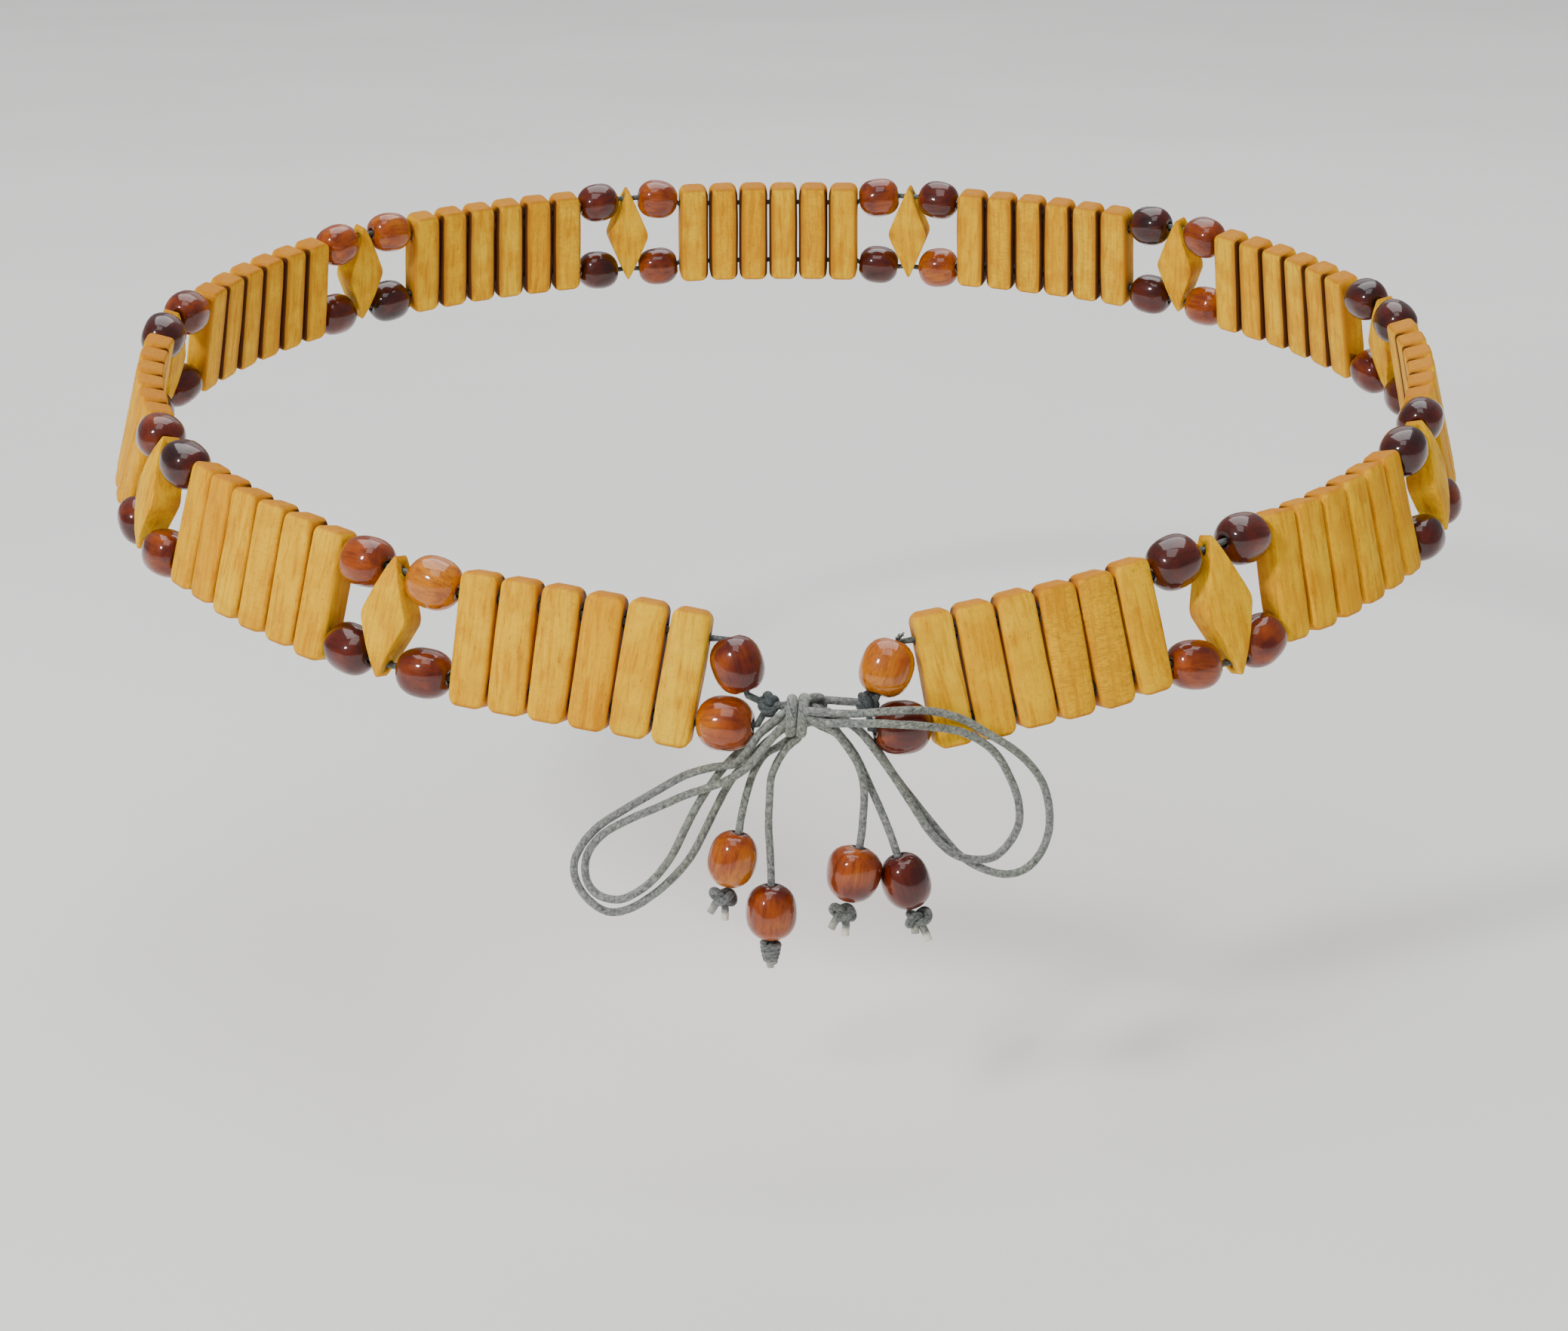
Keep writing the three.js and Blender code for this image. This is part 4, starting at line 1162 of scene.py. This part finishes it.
for number, (name, points) in enumerate(TAILS.items()):
    top, bottom = Vector(points[-2]), Vector(points[-1])
    down = (bottom - top).normalized()
    place = bead_place(bottom, top)
    bm = bmesh.new()
    template = bead_template(TAIL_BEAD_DIAMETER, TAIL_BEAD_LENGTH)
    look = TAIL_LOOKS[name]
    functions = bead_functions(number + 300, half_length=TAIL_BEAD_LENGTH / 2, place=place, **look)
    copy_to(bm, template, place, *functions)
    template.free()
    bead = new_piece(f"tail_bead_piece_{name}", bm, varnished_wood, [f"tail_bead_{name}"])
    bm = bmesh.new()
    if name == "left_inner":
        add_whipping(bm, bottom + down * 0.0005, down, number)
    else:
        stop_knot = overhand_knot(bottom + down * 0.0024, down, 0.0046, 0.75, number)
        add_tube(bm, stop_knot, KNOT_CORD, seed=number, closed=True, dark=0.45)
        add_cut_tips(bm, bottom + down * 0.002, down, number)
    knot = new_cord_piece(f"stop_knot_piece_{name}", bm, [f"stop_knot_{name}"])
    route = smooth_route(points, CORD_STEP)
    bm = bmesh.new()
    add_tube(bm, route, TAIL, seed=number + 20)
    tail = new_cord_piece(f"tail_{name}", bm, [f"cord_tail_{name}"])
    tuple(route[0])
    route_length(route)

# %% [markdown]
# ## Bow knot
# Two wraps hold the cords. Beside them the cord goes over the top and tucks in behind. Only the outside is
# seen, so the wraps are closed rings round a core of straight strands, and every loop and tail is led on
# into the knot's middle by a short hidden strand.

# %% Bow knot
KNOT_MIDDLE = Vector((0, -0.1326, -0.0267))


def wrap_route(x, half_height, half_depth, slant, steps=44):
    points = []
    for i in range(steps):
        t = math.tau * i / steps
        up, out = math.sin(t), math.cos(t)
        square = (abs(up) ** 2.6 + abs(out) ** 2.6) ** (-1 / 2.6)
        points.append(KNOT_MIDDLE + Vector((
            x + slant * up * square, -out * square * half_depth, up * square * half_height,
        )))
    return [*points, points[0]]


BODY_STRANDS = [
    [
        (0.0036, -0.1338, -0.0252), (0.0062, -0.1342, -0.0255), (0.0088, -0.1338, -0.0262),
        (0.0106, -0.1331, -0.0273), (0.0126, -0.1325, -0.0289),
    ],
    [
        (0.0038, -0.1340, -0.0272), (0.0058, -0.1347, -0.0275), (0.0080, -0.1347, -0.0283),
        (0.0098, -0.1337, -0.0302),
    ],
    [
        (0.0035, -0.1320, -0.0245), (0.0052, -0.1316, -0.0247), (0.0066, -0.1320, -0.0258),
        (0.0080, -0.1327, -0.0276), (0.0094, -0.1331, -0.0297), (0.0106, -0.1332, -0.0312),
    ],
    [
        (0.0034, -0.1318, -0.0285), (0.0054, -0.1316, -0.0282), (0.0072, -0.1322, -0.0280),
        (0.0088, -0.1330, -0.0286),
    ],
]
TUCK = [
    (0.0034, -0.1336, -0.0236), (0.0046, -0.1331, -0.0230), (0.0060, -0.1322, -0.0232),
    (0.0069, -0.1311, -0.0243), (0.0068, -0.1306, -0.0258), (0.0058, -0.1309, -0.0271),
    (0.0042, -0.1317, -0.0278),
]
UNDER_TUCK = [
    (0.0034, -0.1323, -0.0248), (0.0048, -0.1330, -0.0247), (0.0061, -0.1333, -0.0252),
    (0.0067, -0.1328, -0.0262),
]
WRAPS = [
    dict(x=0.0009, half_height=0.0030, half_depth=0.0022, slant=0.0002),
    dict(x=0.0030, half_height=0.0032, half_depth=0.0023, slant=0.0003),
]
UNDER_TUCK_CORD = 0.0014
BODY_CORD = 0.0016
CORE_STEP = 0.0006
LEADER_STEP = 0.0004
# the core strands' places across the knot, back and up
CORE = [
    (-0.0005, 0.0013), (0.001, 0.0004), (-0.001, -0.0003),
    (0.0006, -0.0012), (-0.0002, -0.002), (0.0009, 0.0018),
]
bm = bmesh.new()
for number, wrap in enumerate(WRAPS):
    add_tube(bm, wrap_route(**wrap), WRAP_CORD, sides=14, seed=31 + number, closed=True)
for number, (y, z) in enumerate(CORE):
    start = KNOT_MIDDLE + Vector((-0.0003, y, z))
    core = [start, start + Vector((0.002, 0, 0)), start + Vector((0.0037, 0.0002, 0.0001))]
    add_tube(bm, smooth_route(core, CORE_STEP), CORD, seed=40 + number)
add_tube(bm, smooth_route(TUCK, KNOT_STEP), KNOT_CORD, seed=51)
add_tube(bm, smooth_route(UNDER_TUCK, KNOT_STEP), UNDER_TUCK_CORD, seed=52)
# the strands' hidden starts inside the knot
for points in (*LOOPS.values(), *TAILS.values()):
    strand_ends = [(points[0], points[1])]
    if points in LOOPS.values():
        strand_ends.append((points[-1], points[-2]))
    for first, second in strand_ends:
        first, second = Vector(first), Vector(second)
        inside = KNOT_MIDDLE + Vector((min(max(first.x, 0.0005), 0.0035), 0.0005, 0))
        back = first + (first - second).normalized() * 0.0007
        leader = [first.lerp(second, 0.15), first, back, back.lerp(inside, 0.6), inside]
        add_tube(bm, smooth_route(leader, LEADER_STEP), CORD * 0.98, seed=90)
for number, points in enumerate(BODY_STRANDS):
    add_tube(bm, smooth_route(points, KNOT_STEP), BODY_CORD, seed=100 + number)
new_cord_piece("bow_wraps", bm, ["bow_knot"])

# %% [markdown]
# ## Threads
# An upper and a lower thread run through every bar, bead and rhombus piece, from one end knot round to
# the other. Each is one long tube through the holes' middles, so it shows in every gap without being
# placed there. The end knots are two small overhand knots drawn into each other.

# %% Threads
TIE_ENDS = {"left": (0.0004, -0.1323, -0.0249), "right": (0.0072, -0.1313, -0.0241)}
TIE_DARKNESS = {"left": 0.7, "right": 0.25}
TIE_STEP = 0.0006
END_KNOTS = [
    dict(axis=Vector((1, -0.4, 0.3)), size=0.0038, squash=0.85, turn=0.7, diameter=0.0015, seed=70),
    dict(axis=Vector((0.2, -1, 0.4)), size=0.0034, squash=0.8, turn=0, diameter=0.0013, seed=75),
]
FRAYED_FIBRES = 11
FIBRE = 0.0004


def thread_half(side_name, r, row):
    side = SIDES[side_name]
    pair, knot = ends[side_name]
    near, far = pair[r]
    points = [knot, far + (far - near).normalized() * 0.001, far, near]
    for group in range(BACK_GROUP + 1):
        seats = bars[side_name, group]
        points += [bar_hole(seats[0], row, -side), *(bar_hole(place, row) for place in seats)]
        if group < BACK_GROUP:
            points.append(bar_hole(seats[-1], row, side))
            _, hole, (first, second) = links[side_name, group][r]
            points += [first[0], first[1], hole, second[1], second[0]]
    return points


bm = bmesh.new()
for r, row in enumerate((1, -1)):
    left, right = (thread_half(side_name, r, row) for side_name in SIDES)
    add_tube(bm, [*left, *reversed(right)], THREAD, sides=10, seed=60 + r, dark=0.7)
for number, side_name in enumerate(SIDES):
    pair, knot = ends[side_name]
    for look in END_KNOTS:
        tied = overhand_knot(knot, look["axis"], look["size"], look["squash"], look["turn"] + number)
        add_tube(bm, tied, look["diameter"], seed=look["seed"] + number, closed=True, dark=0.95)
    tie_end = Vector(TIE_ENDS[side_name])
    tie = smooth_route([knot, knot.lerp(tie_end, 0.5), tie_end], TIE_STEP)
    add_tube(bm, tie, CORD, seed=80 + number, dark=TIE_DARKNESS[side_name])
# frayed ends beside the upper right end bead's mouth
near, far = ends["right"][0][0]
outward = (near - far).normalized()
for number in range(FRAYED_FIBRES):
    spread = Vector((scatter(number, 1) - 0.3, -0.5 - 0.6 * scatter(number, 2), scatter(number, 3) - 0.45))
    tip = near + outward * (0.0012 + 0.0008 * scatter(number, 4)) + spread * 0.0018
    bend = near + outward * 0.0009 + spread * 0.0005
    fibre = smooth_route([near, bend, tip], TIP_STEP)
    add_tube(bm, fibre, FIBRE, sides=6, unevenness=0.3, seed=110 + number)
new_cord_piece("threads", bm, ["thread_left", "thread_right"] + BACK_STRINGS)

# %% [markdown]
# ## Floor
# The belt hangs in its worn form, so the plain pale floor lies a little below its lowest tail and only takes
# its soft shadow.

# %% Floor
floor_material, tree, shader = new_material("floor", {"Roughness": 0.9, "Specular IOR Level": 0.2})
grain = noise_of(tree, add_node(tree, "ShaderNodeTexCoord").outputs["Object"], 3, 4)
feed(tree, shader, colour=ramp(tree, grain, [(0.3, (0.82, 0.81, 0.79)), (0.7, (0.87, 0.86, 0.84))]))
FLOOR_HEIGHT = -0.125
FLOOR_HALF_SIZE = 12
bm = bmesh.new()
bmesh.ops.create_grid(bm, x_segments=2, y_segments=2, size=FLOOR_HALF_SIZE)
floor_mesh = bpy.data.meshes.new("floor")
bm.to_mesh(floor_mesh)
bm.free()
floor_mesh.materials.append(floor_material)
floor = bpy.data.objects.new("floor", floor_mesh)
floor.location = (0, 0, FLOOR_HEIGHT)
scene.collection.objects.link(floor)

# %% [markdown]
# ## Light
# A small bright lamp at the upper left gives the varnish its highlights, and wide ones fill in softly. The
# high one lights mainly the floor, because strong light from the front would make the yellow wood pale.

# %% Light
SKY_COLOUR = (0.86, 0.89, 0.93, 1)
SKY_STRENGTH = 0.33
LAMP_TARGET = Vector((0, -0.1, -0.02))
LAMPS = {
    "key": dict(place=(-0.75, -1.0, 0.8), size=0.17, power=13),
    "broad": dict(place=(-0.1, -0.7, 1.5), size=0.8, power=5),
    "top": dict(place=(0, 1.5, 4.5), size=4.5, power=230),
    "back": dict(place=(0.2, 1.2, 0.9), size=0.9, power=2),
}
world = bpy.data.worlds.new("studio")
scene.world = world
world.use_nodes = True
background = world.node_tree.nodes["Background"]
background.inputs["Color"].default_value = SKY_COLOUR
background.inputs["Strength"].default_value = SKY_STRENGTH
for name, look in LAMPS.items():
    lamp_data = bpy.data.lights.new(name, "AREA")
    lamp_data.size = look["size"]
    lamp_data.energy = look["power"]
    lamp = bpy.data.objects.new(name, lamp_data)
    lamp.location = look["place"]
    lamp.rotation_mode = "QUATERNION"
    lamp.rotation_quaternion = (LAMP_TARGET - lamp.location).to_track_quat("-Z", "Y")
    scene.collection.objects.link(lamp)
